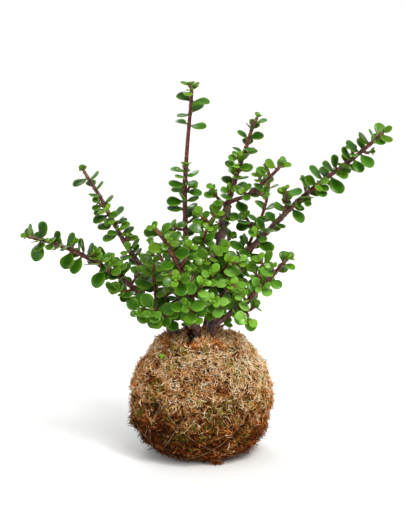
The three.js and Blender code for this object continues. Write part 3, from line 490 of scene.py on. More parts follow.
def leaf_fits(leaf, placed, beads, owner, slim=1.0):
    """Whether a leaf is clear of the ball, of the limbs and of the leaves that stand already."""
    distance = distances(leaf["samples"], BELLY)
    way = (leaf["samples"] - np.array(BELLY)) / distance[:, None]
    if np.any(distance < ball_reach(way) + MOSS_RELIEF + BALL_CLEARANCE):
        return False
    gap, radii = distances(beads[:, :3], leaf["foot"]), beads[:, 3]
    own = (beads[:, 4] == owner) & (gap < FREE_ROOT + radii)
    close = ~own & (gap < leaf["length"] + radii + SEARCH_SPARE)
    if near_blade(beads[close, :3], radii[close], leaf, slim):
        return False
    for other in placed:
        if apart(other["foot"], leaf["foot"]) > leaf["length"] + other["length"] + SEARCH_SPARE:
            continue
        if near_blade(leaf["samples"], 0, other, slim) or near_blade(other["samples"], 0, leaf, slim):
            return False
    return True


def grow_leaf(stem, pair, side, placed, beads, slim):
    key = stem["key"] + 200 + pair["rank"]
    if pair["rank"] > 0 and draw(key, side, 9) < stem["habit"]["gaps"]:
        return None
    for trial in range(TRIES):
        leaf = leaf_pose(stem, pair, side, key, trial)
        leaf["samples"] = leaf_samples(leaf)
        if leaf_fits(leaf, placed, beads, stem["key"], slim):
            return {**leaf, "node": stem["node"], "rank": pair["rank"], "key": key + 7 * side}
    return None


def grow_pairs(stem, placed, beads, slim=1.0):
    """The leaves of a limb that have room beside those that stand already."""
    stem["pairs"] = leaf_pairs(stem["line"], stem["habit"], stem["key"])
    grown = []
    for pair in stem["pairs"]:
        for side in (0, 1):
            leaf = grow_leaf(stem, pair, side, placed + grown, beads, slim)
            if leaf:
                grown.append(leaf)
    return grown


def placed_pose(spots, row, key, trial):
    """A leaf with its centre at a chosen place, on the nearest limb of its stem, and that limb."""
    owners, ats, places, alongs = zip(*spots)
    away = np.array((row[0], row[1] + PLACED_SHIFTS[trial], row[2])) - np.array(places)
    gap = distances(away, 0)
    backward = np.where((away * np.array(alongs)).sum(axis=1) < 0, BACKWARD_COST, 0)
    near = int(np.argmin(np.abs(gap - LEAF_CENTRE_SHARE * row[3]) + backward))
    long = unit(tuple(away[near]))
    face = strayed(plus(alongs[near], LIGHT, PLACED_FACING), PLACED_STRAY, key, trial)
    foot = plus(places[near], long, ROOT_SHARE * radius_at(owners[near], ats[near]))
    length = min(float(gap[near]) / LEAF_CENTRE_SHARE, LONGEST_STRETCH * row[3])
    return framed(foot, long, face, length), owners[near]


def grow_placed(limbs, beads):
    leaves = []
    for node, rows in PLACED_LEAVES.items():
        spots = [(each, at, *place_on(each["line"], at)) for each in limbs if each["node"] == node
                 for at in range(int(each["line"]["length"]) + 1)]
        for index, row in enumerate(rows):
            for trial in range(len(PLACED_SHIFTS)):
                leaf, owner = placed_pose(spots, row, index, trial)
                leaf["samples"] = leaf_samples(leaf)
                if leaf_fits(leaf, leaves, beads, owner["key"]):
                    rank = 0 if index in YOUNG_PLACED[node] else 3
                    leaves.append({**leaf, "node": node, "rank": rank, "key": 300 + 11 * index})
                    break
    return leaves


def slim_limb(parent, points, habit, key):
    return dict(node=parent["node"], foot=TWIG_RADIUS, tip=TWIG_RADIUS, habit=habit, key=key,
                line=limb_line(points))


def grow_shoot(parent, pair, beads, leaves):
    key = parent["key"] + 100 + pair["rank"]
    if pair["rank"] < FIRST_SHOOT_RANK or draw(key, 20) > parent["habit"]["shoots"]:
        return None
    pose = leaf_pose(parent, pair, 0 if draw(key, 21) < 0.5 else 1, key + 50, 0)
    length = SHORTEST_SHOOT + SHOOT_RANGE * draw(key, 22)
    bend = plus(pose["foot"], pose["long"], length * SHOOT_BEND_SHARE)
    tip = plus(plus(bend, pose["long"], length * SHOOT_TIP_SHARE), UP, length * SHOOT_TIP_SHARE)
    shoot = slim_limb(parent, [pose["foot"], bend, tip], {**SHOOT_HABIT, "roll": 360 * draw(key, 23)}, key)
    for bead in beads_along(shoot):
        reach = bead[3] + beads[:, 3] + SHOOT_CLEARANCE
        if np.any((beads[:, 4] != parent["key"]) & (distances(beads[:, :3], bead[:3]) <= reach)):
            return None
        if any(near_blade(np.array([bead[:3]]), bead[3], leaf) for leaf in leaves):
            return None
    return shoot


def grow_plant():
    """The CAD's limbs, shoots and leaves, and the beads of all limbs."""
    stems = []
    for node, limbs in LIMBS.items():
        for each in limbs:
            key = (len(stems) + 1) * 1000 + each["habit"]["seed"] * 100000
            stems.append({**each, "node": node, "key": key, "line": limb_line(each["points"])})
    beads = np.array([bead for stem in stems for bead in beads_along(stem)])
    leaves = grow_placed(stems, beads)
    for parent in list(stems):
        for pair in leaf_pairs(parent["line"], parent["habit"], parent["key"]):
            shoot = grow_shoot(parent, pair, beads, leaves)
            if shoot:
                stems.append(shoot)
                beads = np.vstack([beads, beads_along(shoot)])
    for stem in stems:
        leaves += grow_pairs(stem, leaves, beads)
    return stems, leaves, beads


# Twigs that the CAD leaves out, because the crown is too dense for the clearances of its solids
TWIG_HABIT = {**HABIT, "spacing": 6, "bare": 0.3, "gaps": 0, "facing": 1.1}
TWIG_SLIM = 0.45
TWIG_CLEARANCE = 0.8
TWIG_UPWARD = 2.0
SHORTEST_TWIG = 8
TWIG_RANGE = 7
TWIG_TIP_RISE = 0.2
TWIG_LEAF_RANGE = 2.4
FEWEST_LEAVES = 2
FILLERS = 190
FILLER_KEY = 90000000
FILLER_LEAF = 12.3
FILLER_NEAREST = 5
FILLER_FARTHEST = 26
FILLER_LOWEST = 112
FILL_POWER = 0.6
FILL_CENTRE = (4.0, -6.0, 158.0)
FILL_REACH = (66.0, 48.0, 58.0)
SIDE_KEY = 98000000
SIDE_SHARE = 0.6
SIDE_TOP = 262
SIDE_LEAF = 9.0
SIDE_LEAF_RANGE = 3.5
SIDE_STRAYS = (0.9, 0.8)
SIDE_FORWARD = -0.8
SIDE_UPWARD = 0.3
SIDE_OUT = 7.5
SIDE_AHEAD = 3.0


def filler_target(key):
    way = unit(tuple(spread(1, key, axis, 11) for axis in range(3)))
    far = draw(key, 12) ** FILL_POWER
    return tuple(FILL_CENTRE[axis] + FILL_REACH[axis] * far * way[axis] for axis in range(3))


def grow_twig(stems, leaves, beads, parent, foot, target, size, key):
    """One short leafy twig from a limb towards a target, if it has room; gives the beads with its own."""
    heading = unit(plus(plus(target, foot, -1), UP, TWIG_UPWARD))
    length = min(apart(foot, target), SHORTEST_TWIG + TWIG_RANGE * draw(key, 13))
    tip = plus(plus(foot, heading, length), UP, TWIG_TIP_RISE * length)
    habit = {**TWIG_HABIT, "leaf": size + TWIG_LEAF_RANGE * draw(key, 14), "roll": 360 * draw(key, 15)}
    shoot = slim_limb(parent, [foot, plus(foot, heading, 0.5 * length), tip], habit, key)
    new = np.array(beads_along(shoot))
    others = beads[beads[:, 4] != parent["key"]]
    reach = new[:, None, 3] + others[None, :, 3] + TWIG_CLEARANCE
    if np.any(distances(new[:, None, :3], others[None, :, :3]) < reach):
        return beads
    close = [leaf for leaf in leaves if apart(leaf["foot"], foot) < length + leaf["length"]]
    if any(near_blade(new[2:, :3], new[2:, 3], leaf, TWIG_SLIM) for leaf in close):
        return beads
    grown = grow_pairs(shoot, leaves, beads, TWIG_SLIM)
    if len(grown) < FEWEST_LEAVES:
        return beads
    stems.append(shoot)
    leaves.extend(grown)
    return np.vstack([beads, new])


def grow_fillers(stems, leaves, beads):
    """Short twigs from the nearest limb towards places in the crown that have room."""
    owners = {stem["key"]: stem for stem in stems}
    home = beads
    for index in range(FILLERS):
        key = FILLER_KEY + index * 40
        target = filler_target(key)
        gap = distances(home[:, :3], target)
        near = int(np.argmin(gap))
        if FILLER_NEAREST <= gap[near] <= FILLER_FARTHEST and home[near, 2] >= FILLER_LOWEST:
            foot, parent = tuple(home[near, :3]), owners[int(home[near, 4])]
            beads = grow_twig(stems, leaves, beads, parent, foot, target, FILLER_LEAF, key)
    return beads


def grow_side_twigs(stems, leaves, beads):
    """Short twigs out of the leaf pairs of the long limbs, mostly on the side towards the camera."""
    long_limbs = [stem for stem in stems if stem["key"] < FILLER_KEY and stem["line"]["length"] > LONG_LIMB]
    for index, stem in enumerate(long_limbs):
        for pair in stem["pairs"][2:]:
            key = SIDE_KEY + 4000 * index + 40 * pair["rank"]
            foot, along = place_on(stem["line"], pair["at"])
            if draw(key, 16) > SIDE_SHARE or foot[2] > SIDE_TOP:
                continue
            stray, rise = spread(SIDE_STRAYS[0], key, 17), spread(SIDE_STRAYS[1], key, 18)
            out = (stray, SIDE_FORWARD, SIDE_UPWARD + rise)
            out = unit(plus(out, along, -dot(out, along)))
            target = plus(plus(foot, out, SIDE_OUT), along, SIDE_AHEAD)
            size = SIDE_LEAF + SIDE_LEAF_RANGE * draw(key, 19)
            beads = grow_twig(stems, leaves, beads, stem, foot, target, size, key)
    return beads


stems, leaves, beads = grow_plant()
beads = grow_fillers(stems, leaves, beads)
grow_side_twigs(stems, leaves, beads)

MOSS_SEED = 23
random = np.random.default_rng(MOSS_SEED)


# Meshes
def place_object(name, data):
    made = bpy.data.objects.new(name, data)
    bpy.context.scene.collection.objects.link(made)
    return made


def mesh_object(name, points, faces, material):
    """A smooth object from points in metres and arrays of corner numbers with one face a row."""
    mesh = bpy.data.meshes.new(name)
    faces = [np.asarray(each, dtype=np.int32) for each in faces if len(each)]
    sizes = np.concatenate([np.full(len(each), each.shape[1], dtype=np.int32) for each in faces])
    corners = np.concatenate([each.ravel() for each in faces])
    mesh.vertices.add(len(points))
    mesh.vertices.foreach_set("co", np.asarray(points, dtype=np.float64).astype(np.float32).ravel())
    mesh.loops.add(len(corners))
    mesh.loops.foreach_set("vertex_index", corners)
    mesh.polygons.add(len(sizes))
    starts = np.concatenate([[0], np.cumsum(sizes)[:-1]]).astype(np.int32)
    mesh.polygons.foreach_set("loop_start", starts)
    mesh.polygons.foreach_set("use_smooth", np.ones(len(sizes), dtype=bool))
    mesh.update(calc_edges=True)
    mesh.materials.append(material)
    return place_object(name, mesh)


def make_piece(name, points, faces, material, slot, nodes=(), **marks):
    """A piece from points in millimetres, with a number at each point for every mark."""
    piece = mesh_object(name, np.asarray(points) * MM, faces, material)
    for mark, values in marks.items():
        layer = piece.data.attributes.new(mark, "FLOAT", "POINT")
        layer.data.foreach_set("value", np.asarray(values, dtype=np.float32))
    piece.data.validate()
    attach(piece, "root")
    if nodes:
        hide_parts(*nodes)


def tubes(paths, radii, ups, sides):
    """Closed tubes along many paths at once: paths (n, k, 3), radii (n, k) and an up direction (n, k, 3)."""
    count, steps = radii.shape
    along = unit_rows(np.gradient(paths, axis=1))
    across = unit_rows(np.cross(along, ups))
    up = np.cross(across, along)
    angles = around(sides)[:, None]
    ring = (paths[:, :, None] + radii[:, :, None, None]
            * (np.cos(angles) * up[:, :, None] + np.sin(angles) * across[:, :, None]))
    first = (np.arange(count) * steps * sides)[:, None, None]
    row = first + (np.arange(steps - 1) * sides)[None, :, None]
    a = (row + np.arange(sides)).ravel()
    b = (row + (np.arange(sides) + 1) % sides).ravel()
    ends = first[:, 0] + np.arange(sides)
    walls = np.stack([a, a + sides, b + sides, b], axis=1)
    return ring.reshape(-1, 3), [walls, ends, ends[:, ::-1] + (steps - 1) * sides]


def revolved(profile, segments):
    """A round shape from pairs of a radius and a height, from the middle of its upper side outwards."""
    points, rings = [], []
    for radius, height in profile:
        turns = around(segments if radius else 1)
        rings.append(len(points) + np.arange(len(turns)))
        points += [(radius * math.cos(turn), radius * math.sin(turn), height) for turn in turns]
    quads, tris = [], []
    for high, low in zip(rings, rings[1:]):
        high_after, low_after = np.roll(high, -1), np.roll(low, -1)
        if len(high) == 1:
            tris.append(np.stack([np.repeat(high, segments), low, low_after], axis=1))
        elif len(low) == 1:
            tris.append(np.stack([high_after, high, np.repeat(low, segments)], axis=1))
        else:
            quads.append(np.stack([high, low, low_after, high_after], axis=1))
    return np.array(points), [np.concatenate(quads), np.concatenate(tris)]


class Heap:
    """Collects points, faces of each size and marks of many small shapes for one mesh."""

    def __init__(self):
        self.points, self.faces, self.marks, self.count = [], {}, {}, 0

    def add(self, points, faces, **marks):
        for face in faces:
            self.faces.setdefault(face.shape[1], []).append(face + self.count)
        for mark, value in marks.items():
            self.marks.setdefault(mark, []).append(np.broadcast_to(value, len(points)))
        self.points.append(points)
        self.count += len(points)

    def make(self, name, material, slot, nodes=()):
        faces = [np.concatenate(each) for each in self.faces.values()]
        marks = {mark: np.concatenate(each) for mark, each in self.marks.items()}
        make_piece(name, np.concatenate(self.points), faces, material, slot, nodes, **marks)


# Materials, with colours as red, green and blue up to 255
def srgb(*colour):
    shares = [value / 255 for value in colour]
    return (*(v / 12.92 if v <= 0.04045 else ((v + 0.055) / 1.055) ** 2.4 for v in shares), 1.0)


class Shade:
    """A material whose nodes are added with short calls."""

    def __init__(self, name, **sockets):
        self.material = bpy.data.materials.new(name)
        self.material.use_nodes = True
        self.tree = self.material.node_tree
        self.surface = self.tree.nodes["Principled BSDF"].inputs
        for socket, value in sockets.items():
            self.surface[socket.replace("_", " ")].default_value = value

    def set(self, socket, value):
        """Links a socket, or sets it, where a tuple is a colour."""
        if isinstance(value, bpy.types.NodeSocket):
            self.tree.links.new(value, socket)
        else:
            socket.default_value = srgb(*value) if isinstance(value, tuple) else value

    def node(self, kind, **inputs):
        made = self.tree.nodes.new("ShaderNode" + kind)
        for key, value in inputs.items():
            self.set(made.inputs[key.replace("_", " ")], value)
        return made

    def mark(self, name):
        made = self.node("Attribute")
        made.attribute_name = name
        return made.outputs["Fac"]

    def noise(self, scale, detail=3.0, rough=0.6):
        where = self.node("TexCoord").outputs["Object"]
        made = self.node("TexNoise", Scale=scale, Detail=detail, Roughness=rough)
        self.set(made.inputs["Vector"], where)
        return made.outputs["Fac"]

    def ramp(self, fac, *stops):
        """A colour ramp from stops of a position and a colour."""
        made = self.node("ValToRGB", Fac=fac)
        elements = made.color_ramp.elements
        while len(elements) < len(stops):
            elements.new(0.5)
        for element, (at, *colour) in zip(elements, stops):
            element.position = at
            element.color = srgb(*colour)
        return made.outputs["Color"]

    def grey(self, fac, low, high, out_low, out_high):
        return self.node("MapRange", Value=fac, From_Min=low, From_Max=high, To_Min=out_low,
                         To_Max=out_high).outputs["Result"]

    def times(self, first, share):
        made = self.node("Math")
        made.operation = "MULTIPLY"
        self.set(made.inputs[0], first)
        self.set(made.inputs[1], share)
        return made.outputs["Value"]

    def mix(self, fac, first, second):
        made = self.node("Mix")
        made.data_type = "RGBA"
        for index, value in ((0, fac), (6, first), (7, second)):
            self.set(made.inputs[index], value)
        return made.outputs[2]

    def layered(self, tone, *layers):
        """A colour with others laid over it, each as a mark, its share and its colour."""
        for mark, share, colour in layers:
            tone = self.mix(self.times(self.mark(mark), share), tone, colour)
        return tone

    def colour(self, value):
        self.set(self.surface["Base Color"], value)

    def rough(self, value):
        self.set(self.surface["Roughness"], value)

    def bump(self, height, strength, distance):
        made = self.node("Bump", Height=height, Strength=strength, Distance=distance)
        self.set(self.surface["Normal"], made.outputs["Normal"])


def leaf_look():
    shade = Shade("leaf", Coat_Weight=0.3, Coat_Roughness=0.12, Specular_IOR_Level=0.05,
                  Subsurface_Weight=0.06, Subsurface_Scale=0.002, Subsurface_Radius=(0.4, 1.0, 0.15))
    greens = [(0, 12, 48, 2), (0.35, 36, 90, 8), (0.7, 76, 136, 34), (1, 126, 180, 78)]
    # The tone mark holds each leaf's own random tone together with painted light and shade across the crown
    tone = shade.ramp(shade.mark("tone"), *greens)
    tone = shade.mix(shade.grey(shade.noise(420), 0.3, 0.7, 0, 0.28), tone, (80, 116, 16))
    shade.colour(shade.layered(tone, ("young", 1, (150, 196, 44)), ("rim", 0.42, (146, 182, 44)),
                               ("under", 0.6, (92, 118, 34)), ("stalk", 1, (120, 66, 36))))
    shade.rough(shade.grey(shade.noise(260), 0.3, 0.7, 0.34, 0.46))
    shade.bump(shade.noise(900, 2), 0.08, 0.0003)
    return shade.material


def bark_look():
    shade = Shade("bark", Specular_IOR_Level=0.2, Coat_Weight=0.5, Coat_Roughness=0.16)
    grain = shade.noise(330, 5, 0.65)
    red = shade.ramp(grain, (0.28, 40, 8, 6), (0.5, 88, 28, 20), (0.72, 154, 76, 56))
    old = shade.ramp(grain, (0.28, 44, 32, 34), (0.48, 90, 70, 66), (0.62, 128, 106, 98),
                     (0.76, 190, 170, 156))
    tone = shade.mix(shade.mark("age"), red, old)
    shade.colour(shade.layered(tone, ("young", 1, (120, 96, 46)), ("ring", 0.6, (40, 20, 20))))
    shade.rough(shade.grey(shade.mark("age"), 0, 1, 0.34, 0.66))
    shade.bump(grain, 0.5, 0.0012)
    return shade.material


def strand_look(name, *stops):
    shade = Shade(name, Specular_IOR_Level=0.1, Roughness=0.8)
    fleck = shade.grey(shade.noise(600, 2), 0.4, 0.7, 0, 0.14)
    # The tone mark holds painted light and shade over the ball as well as each strand's own random tone
    shade.colour(shade.mix(fleck, shade.ramp(shade.mark("tone"), *stops), (104, 66, 36)))
    return shade.material


def crumbly_look(name, specular, grain, stops, relief, strength, depth):
    """A dull surface with its colours and its bumps from noise."""
    shade = Shade(name, Specular_IOR_Level=specular, Roughness=0.95)
    shade.colour(shade.ramp(shade.noise(*grain), *stops))
    shade.bump(shade.noise(*relief), strength, depth)
    return shade.material


def plain_look(name, colour, roughness, specular):
    shade = Shade(name, Roughness=roughness, Specular_IOR_Level=specular)
    shade.colour(colour)
    return shade.material


# Leaves: a closed blade with a rounded rim, cupped, creased and bent a little
OUTLINE_AT = [0.0, 0.09, 0.19, 0.33, 0.49, 0.65, 0.79, 0.9, 0.97]
OUTLINE_HALF = [0.1, 0.14, 0.3, 0.68, 0.94, 1.0, 0.88, 0.64, 0.36]
OUTLINE_THICK = [0.9, 0.8, 0.8, 0.95, 1.0, 1.0, 0.92, 0.75, 0.5]
BLADE_THICKNESS = 0.75
UNDER_SWELL = 0.62
CREASE_DEPTH = 0.02
CREASE_WIDTH = 0.3
WIDTH_STRAY = 0.07
CUP = 0.04
CUP_STRAY = 0.05
BEND = 0.045
BEND_STRAY = 0.08
TWIST_STRAY = 0.16


def blade_kit(stations, top, under):
    """What every blade of one fineness shares: places along and across it, faces and marks."""
    stations, shares = np.array(stations), np.array(top + under)
    below = np.array([0.5] + [0.0] * (len(top) - 2) + [0.5] + [1.0] * len(under))
    count, steps = len(shares), len(stations)
    ring = np.arange(count)
    after, last = (ring + 1) % count, (steps - 1) * count
    wall = np.stack([ring, after, after + count, ring + count], axis=1)
    point = np.stack([last + ring, last + after, np.full(count, steps * count)], axis=1)
    edge = (np.abs(shares) == 1) + 0.5 * (np.abs(shares) == 0.9)
    swell = np.where(below == 1, -UNDER_SWELL, 1.0) * np.sqrt(np.maximum(0, 1 - np.abs(shares) ** 3))
    crease = CREASE_DEPTH * bell(shares, CREASE_WIDTH) * (below == 0)
    middle = np.interp(stations, [0, 0.15, 0.7, 1], [0, 1, 1, 0])
    return dict(
        along=np.append(np.repeat(stations, count), 1.0),
        half=np.append(np.outer(np.interp(stations, OUTLINE_AT, OUTLINE_HALF), shares), 0.0),
        thick=np.append(np.outer(np.interp(stations, OUTLINE_AT, OUTLINE_THICK), swell), 0.0),
        crease=np.append(np.outer(middle, crease), 0.0),
        faces=[np.concatenate([wall + i * count for i in range(steps - 1)]), point, ring[None, ::-1]],
        rim=np.append(np.tile(edge, steps), 1.0),
        under=np.append(np.tile(below, steps), 0.5),
        stalk=np.append(np.repeat(np.interp(stations, [0, 0.1, 0.2], [0.8, 0.4, 0]), count), 0.0),
    )


FINE = blade_kit(OUTLINE_AT, [-1, -0.9, -0.45, 0, 0.45, 0.9, 1.0], [0.9, 0.45, 0, -0.45, -0.9])
SMALL = blade_kit([0, 0.19, 0.4, 0.65, 0.86, 0.96], [-1, -0.5, 0, 0.5, 1.0], [0.5, 0, -0.5])


def add_blade(heap, leaf, seed, tone, young, kit):
    """One blade in its leaf's frame, with its own cup, bend and twist."""
    along, length = kit["along"], leaf["length"]
    thick = BLADE_THICKNESS * min(1.0, 0.45 + length / 20)
    aside = kit["half"] * LEAF_WIDTH_SHARE * (1.0 + spread(WIDTH_STRAY, seed, 34))
    lift = kit["thick"] * thick / length - kit["crease"]
    lift = lift + (spread(CUP_STRAY, seed, 31) + CUP) * (aside / LEAF_WIDTH_SHARE) ** 2
    lift = lift + (spread(BEND_STRAY, seed, 32) - BEND) * along**2
    lift = lift + spread(TWIST_STRAY, seed, 33) * aside * along
    axes = np.array([leaf["long"], leaf["across"], leaf["face"]]) * length
    points = np.array(leaf["foot"]) + np.stack([along, aside, lift], axis=1) @ axes
    shared = {mark: kit[mark] for mark in ("rim", "under", "stalk")}
    heap.add(points, kit["faces"], tone=tone, young=young, **shared)


# Where painted light falls on the crown's front right, and where painted shade falls in its middle
FRONT_LIGHT_X, FRONT_LIGHT_Z, FRONT_LIGHT_REACH = 26, 136, 34
CROWN_SHADE_X, CROWN_SHADE_Z, CROWN_SHADE_REACH = 4, 135, 44
YOUNG_AT_TIP = (0.22, 0.08, 0.02)
DULL_LEFT = -10
DULL_LEAVES = 135
DULL_ROSETTES = 145


def leaf_tone(leaf):
    """Painted light brightens the crown's front right and painted shade darkens its middle behind the front;
    the leaves also darken towards the far left and are younger at the tips.
    """
    key, foot = leaf["key"], leaf["foot"]
    x, y, z = plus(foot, leaf["long"], LEAF_CENTRE_SHARE * leaf["length"])
    front = clamp((-2 - y) / 25)
    # Painted light on the crown's front right, which also yellows the leaves there a little
    front_light = bell(x - FRONT_LIGHT_X, FRONT_LIGHT_REACH) * bell(z - FRONT_LIGHT_Z, FRONT_LIGHT_REACH) * (0.25 + 0.75 * front)
    # Painted shade in the middle of the crown, away from its front
    crown_shade = bell(x - CROWN_SHADE_X, CROWN_SHADE_REACH, 4) * bell(z - CROWN_SHADE_Z, CROWN_SHADE_REACH, 4) * (1 - front)
    deep = 0.22 * crown_shade + 0.14 * clamp((-8 - foot[0]) / 50)
    young = YOUNG_AT_TIP[leaf["rank"]] if leaf["rank"] < len(YOUNG_AT_TIP) else 0.0
    if foot[2] < DULL_LEAVES and foot[0] < DULL_LEFT:
        young *= 0.4
    young = young * (0.4 + 1.1 * draw(key, 41)) + (0.3 * draw(key, 42) if draw(key, 44) < 0.1 else 0)
    return clamp(0.1 + 0.5 * draw(key, 43) + 0.7 * front_light - deep), min(1, young + 0.08 * front_light)


def small_leaf(foot, direction, out, length, seed):
    return framed(foot, unit(plus(direction, out, 0.7 + 0.5 * draw(seed, 51))), direction, length)


def add_rosette(heap, place, along, turn, size, pairs, seed):
    """Tiny young leaves in crossed pairs, the innermost the smallest and the most upright."""
    for rank in range(pairs):
        for side in (0, 1):
            out = sideways(along, turn + 90 * rank + 180 * side + spread(14, seed, rank, side, 52))
            length = size * (1 - 0.3 * rank) * (1 + spread(0.15, seed, rank, side, 53))
            foot = plus(place, along, 0.5 * rank)
            leaf = small_leaf(foot, along, scaled(out, 1.3 - 0.5 * rank), length, seed + rank)
            young = clamp(0.12 + 0.36 * rank + spread(0.22, seed, 54))
            young *= 0.35 if place[2] <= DULL_ROSETTES and place[0] <= DULL_LEFT else 1.0
            add_blade(heap, leaf, seed + 3 * rank + side, 0.55, young, SMALL)


THICKEST_TIP = 2.0
AXIL_SHARE = 0.18
FILLER_ROSETTE = 3.4
TIP_ROSETTE = 4.2
TIP_ROSETTE_RANGE = 1.8
AXIL_ROSETTE = 2.6
AXIL_ROSETTE_RANGE = 2.6


def add_young(heap, stem):
    """The rosette at a limb's tip, and those in some of its leaf pairs."""
    line, key, first = stem["line"], stem["key"], stem["pairs"][0]
    filler = key >= FILLER_KEY
    if stem["tip"] < THICKEST_TIP:
        place, along = place_on(line, line["length"] - 0.6)
        size = FILLER_ROSETTE if filler else TIP_ROSETTE + TIP_ROSETTE_RANGE * draw(key, 61)
        add_rosette(heap, place, along, first["turn"] + 90, size, 1 if filler else 2, key + 60)
    for pair in stem["pairs"][1:]:
        rank = pair["rank"]
        if filler or draw(key, rank, 62) > AXIL_SHARE:
            continue
        place, along = place_on(line, pair["at"])
        out = sideways(along, pair["turn"] + (0 if draw(key, rank, 63) < 0.5 else 180))
        heading = unit(plus(along, out, 0.8))
        foot = plus(place, heading, 0.8 * radius_at(stem, pair["at"]))
        size = AXIL_ROSETTE + AXIL_ROSETTE_RANGE * draw(key, rank, 65)
        pairs = 1 + (draw(key, rank, 66) > 0.6)
        add_rosette(heap, foot, heading, 360 * draw(key, rank, 64), size, pairs, key + 700 + rank)


# Stems: smooth tubes with a swelling and ring scars at each leaf pair, and fainter rings between
TUBE_STEP = 1.3
PAIR_SWELL = 0.2
PAIR_REACH = 1.2
SCAR_OFFSET = 0.6
SCAR_REACH = 0.7
RING_START = 3.0
RING_GAP = 5.5
RING_STRAY = 1.6
RING_SWELL = 0.06
COLLAR_SWELL = 0.45
COLLAR_REACH = 2.2
OLD_RADIUS = 2.0
OLD_RANGE = 1.8
YOUNG_TIP = 9
BARK_ROUGHNESS = 0.05
ROUGH_RADIUS = 2.4
TUBE_GUIDE = (0.13, 0.97, 0.2)


def stem_tube(heap, stem):
    line, key = stem["line"], stem["key"]
    smooth = measured(line["smooth"])
    count = max(4, int(smooth["length"] / TUBE_STEP))
    along = np.linspace(0, smooth["length"], count)
    path = np.array([place_on(smooth, each)[0] for each in along])
    at = along * (line["length"] / smooth["length"])
    radii = np.array([radius_at(stem, each) for each in at])
    swell, ring = np.zeros(count), np.zeros(count)
    for pair in stem["pairs"]:
        offset = at - pair["at"]
        swell += PAIR_SWELL * bell(offset, PAIR_REACH)
        ring += bell(offset - SCAR_OFFSET, SCAR_REACH)
    for k, where in enumerate(np.arange(RING_START, line["length"], RING_GAP)):
        offset = at - where - spread(RING_STRAY, key, k, 71)
        swell += RING_SWELL * bell(offset, 0.9)
        ring += 0.7 * bell(offset, 0.6)
    collar = 0.0 if stem.get("points") and stem["points"][0][2] == FOOT else COLLAR_SWELL
    radii = radii * (1 + swell + collar * np.exp(-along / COLLAR_REACH))
    radii *= 1 + 0.03 * np.sin(along * 1.9 + key)
    radii[-1] *= 0.45
    sides = 14 if stem["foot"] > 3.3 else 10 if stem["foot"] > 2 else 7
    guide = np.broadcast_to(np.array(TUBE_GUIDE), path.shape)
    points, faces = tubes(path[None], radii[None], guide[None], sides)
    rough = np.random.default_rng(key).normal(0, BARK_ROUGHNESS, len(points)) * (stem["foot"] > ROUGH_RADIUS)
    centre = np.repeat(path, sides, axis=0)
    age = np.clip((radii - OLD_RADIUS) / OLD_RANGE, 0, 1)
    young = np.clip(1 - (smooth["length"] - along) / YOUNG_TIP, 0, 1) * 0.8
    marks = dict(age=age, young=young, ring=np.minimum(ring, 1))
    heap.add(centre + (points - centre) * (1 + rough)[:, None], faces,
             **{mark: np.repeat(values, sides) for mark, values in marks.items()})


def stem_pieces(node, leaf_material, bark_material):
    blades, wood = Heap(), Heap()
    for leaf in leaves:
        if leaf["node"] == node:
            tone, young = leaf_tone(leaf)
            add_blade(blades, leaf, leaf["key"], tone, young, FINE)
    for stem in stems:
        if stem["node"] == node:
            add_young(blades, stem)
            stem_tube(wood, stem)
    blades.make(node + "_leaves", leaf_material, "leaf", [node])
    wood.make(node + "_wood", bark_material, "bark", [node])


# Moss: short curled strands in three colour families, and spots of colour as a place and a radius
TAN, RUST, GREEN = 0, 1, 2
GREEN_SPOTS = [
    (-23, -32, 96, 4), (-13, -37, 96, 5), (3, -38, 97, 5), (-36, -46, 65, 5), (-39, -46, 57, 5),
    (-27, -54, 52, 4), (-27, -54, 43, 4), (-4, -58, 67, 3), (17, -58, 51, 4), (8, -60, 49, 5),
    (39, -46, 55, 4), (28, -53, 54, 4), (23, -41, 87, 5), (-7, -60, 36, 5), (3, -58, 27, 5),
    (-14, -56, 28, 5), (-52, -31, 43, 5), (31, -52, 42, 4),
]
RUST_SPOTS = [
    (-36, -49, 43, 6), (5, -60, 58, 6), (-29, -50, 67, 4), (8, -53, 77, 6), (20, -56, 66, 7),
    (-8, -32, 102, 9), (14, -30, 103, 9), (-30, -22, 102, 6),
]
# Darker spots: the first two are painted shade in the gap between the stems, the rest darker patches of moss
SHADE_AND_DARK_SPOTS = [
    (-9.5, 10, 103, 9), (-9.5, -29, 101, 5), (-32, -50, 35, 6), (-2, -54, 77, 5), (39, -44, 61, 3),
    (-37, -48, 51, 5), (14, -57, 68, 4),
]
STRANDS = 38000
TOP_STRANDS = 5200
TUFT_STRANDS = 120
STRAND_STEPS = 3
STRAND_LENGTHS = (2.4, 6.2)
TOP_LENGTHS = (2.4, 6.0)
STANDING_HEIGHTS = (0.8, 3.6)
LYING_HEIGHTS = (0, 0.5)
SURFACE_LIFTS = (1.3, -0.7)
LIFT_STRAY = 0.3
STEEP_ANGLES = (0.3, 1.1)
FLAT_ANGLE = 0.1
TOP_THICKNESSES = (0.26, 0.54)
TUFT_THICKNESSES = (0.3, 0.5)
STANDING_SHARE = 0.32
STEEP_SHARE = 0.22
MOUND_RADIUS = 37
MOUND_EDGE = 100.6
MOUND_RISE = 3.4
MOUND_DEPTH = 2.2
NOTCH = (-9.5, -12)
NOTCH_HALF = (4.2, 17)
TUFT_PLACE = (13.0, -41.0, 2.2)
TUFT_REACH = (2.6, 1.8, 1.5)


def ranged(limits, count):
    return lerp(*limits, random.random(count))


def directions(count):
    return unit_rows(random.normal(size=(count, 3)))


def patchiness(points, size, seed):
    """Smooth patches from 0 to 1 over the ball, by summed waves."""
    total = np.zeros(len(points))
    for i in range(6):
        way = unit_rows(np.random.default_rng(seed * 31 + i).normal(size=3))
        total += np.sin(points @ way * (2 * math.pi / (size * (0.7 + 0.12 * i))) + 2.3 * i + seed)
    return np.clip(0.5 + total / 5, 0, 1)


def near_spots(points, *spots):
    """How near each point is to the nearest spot, from 0 to 1."""
    return np.max([bell(distances(points, place), radius, 3) for *place, radius in spots], axis=0)


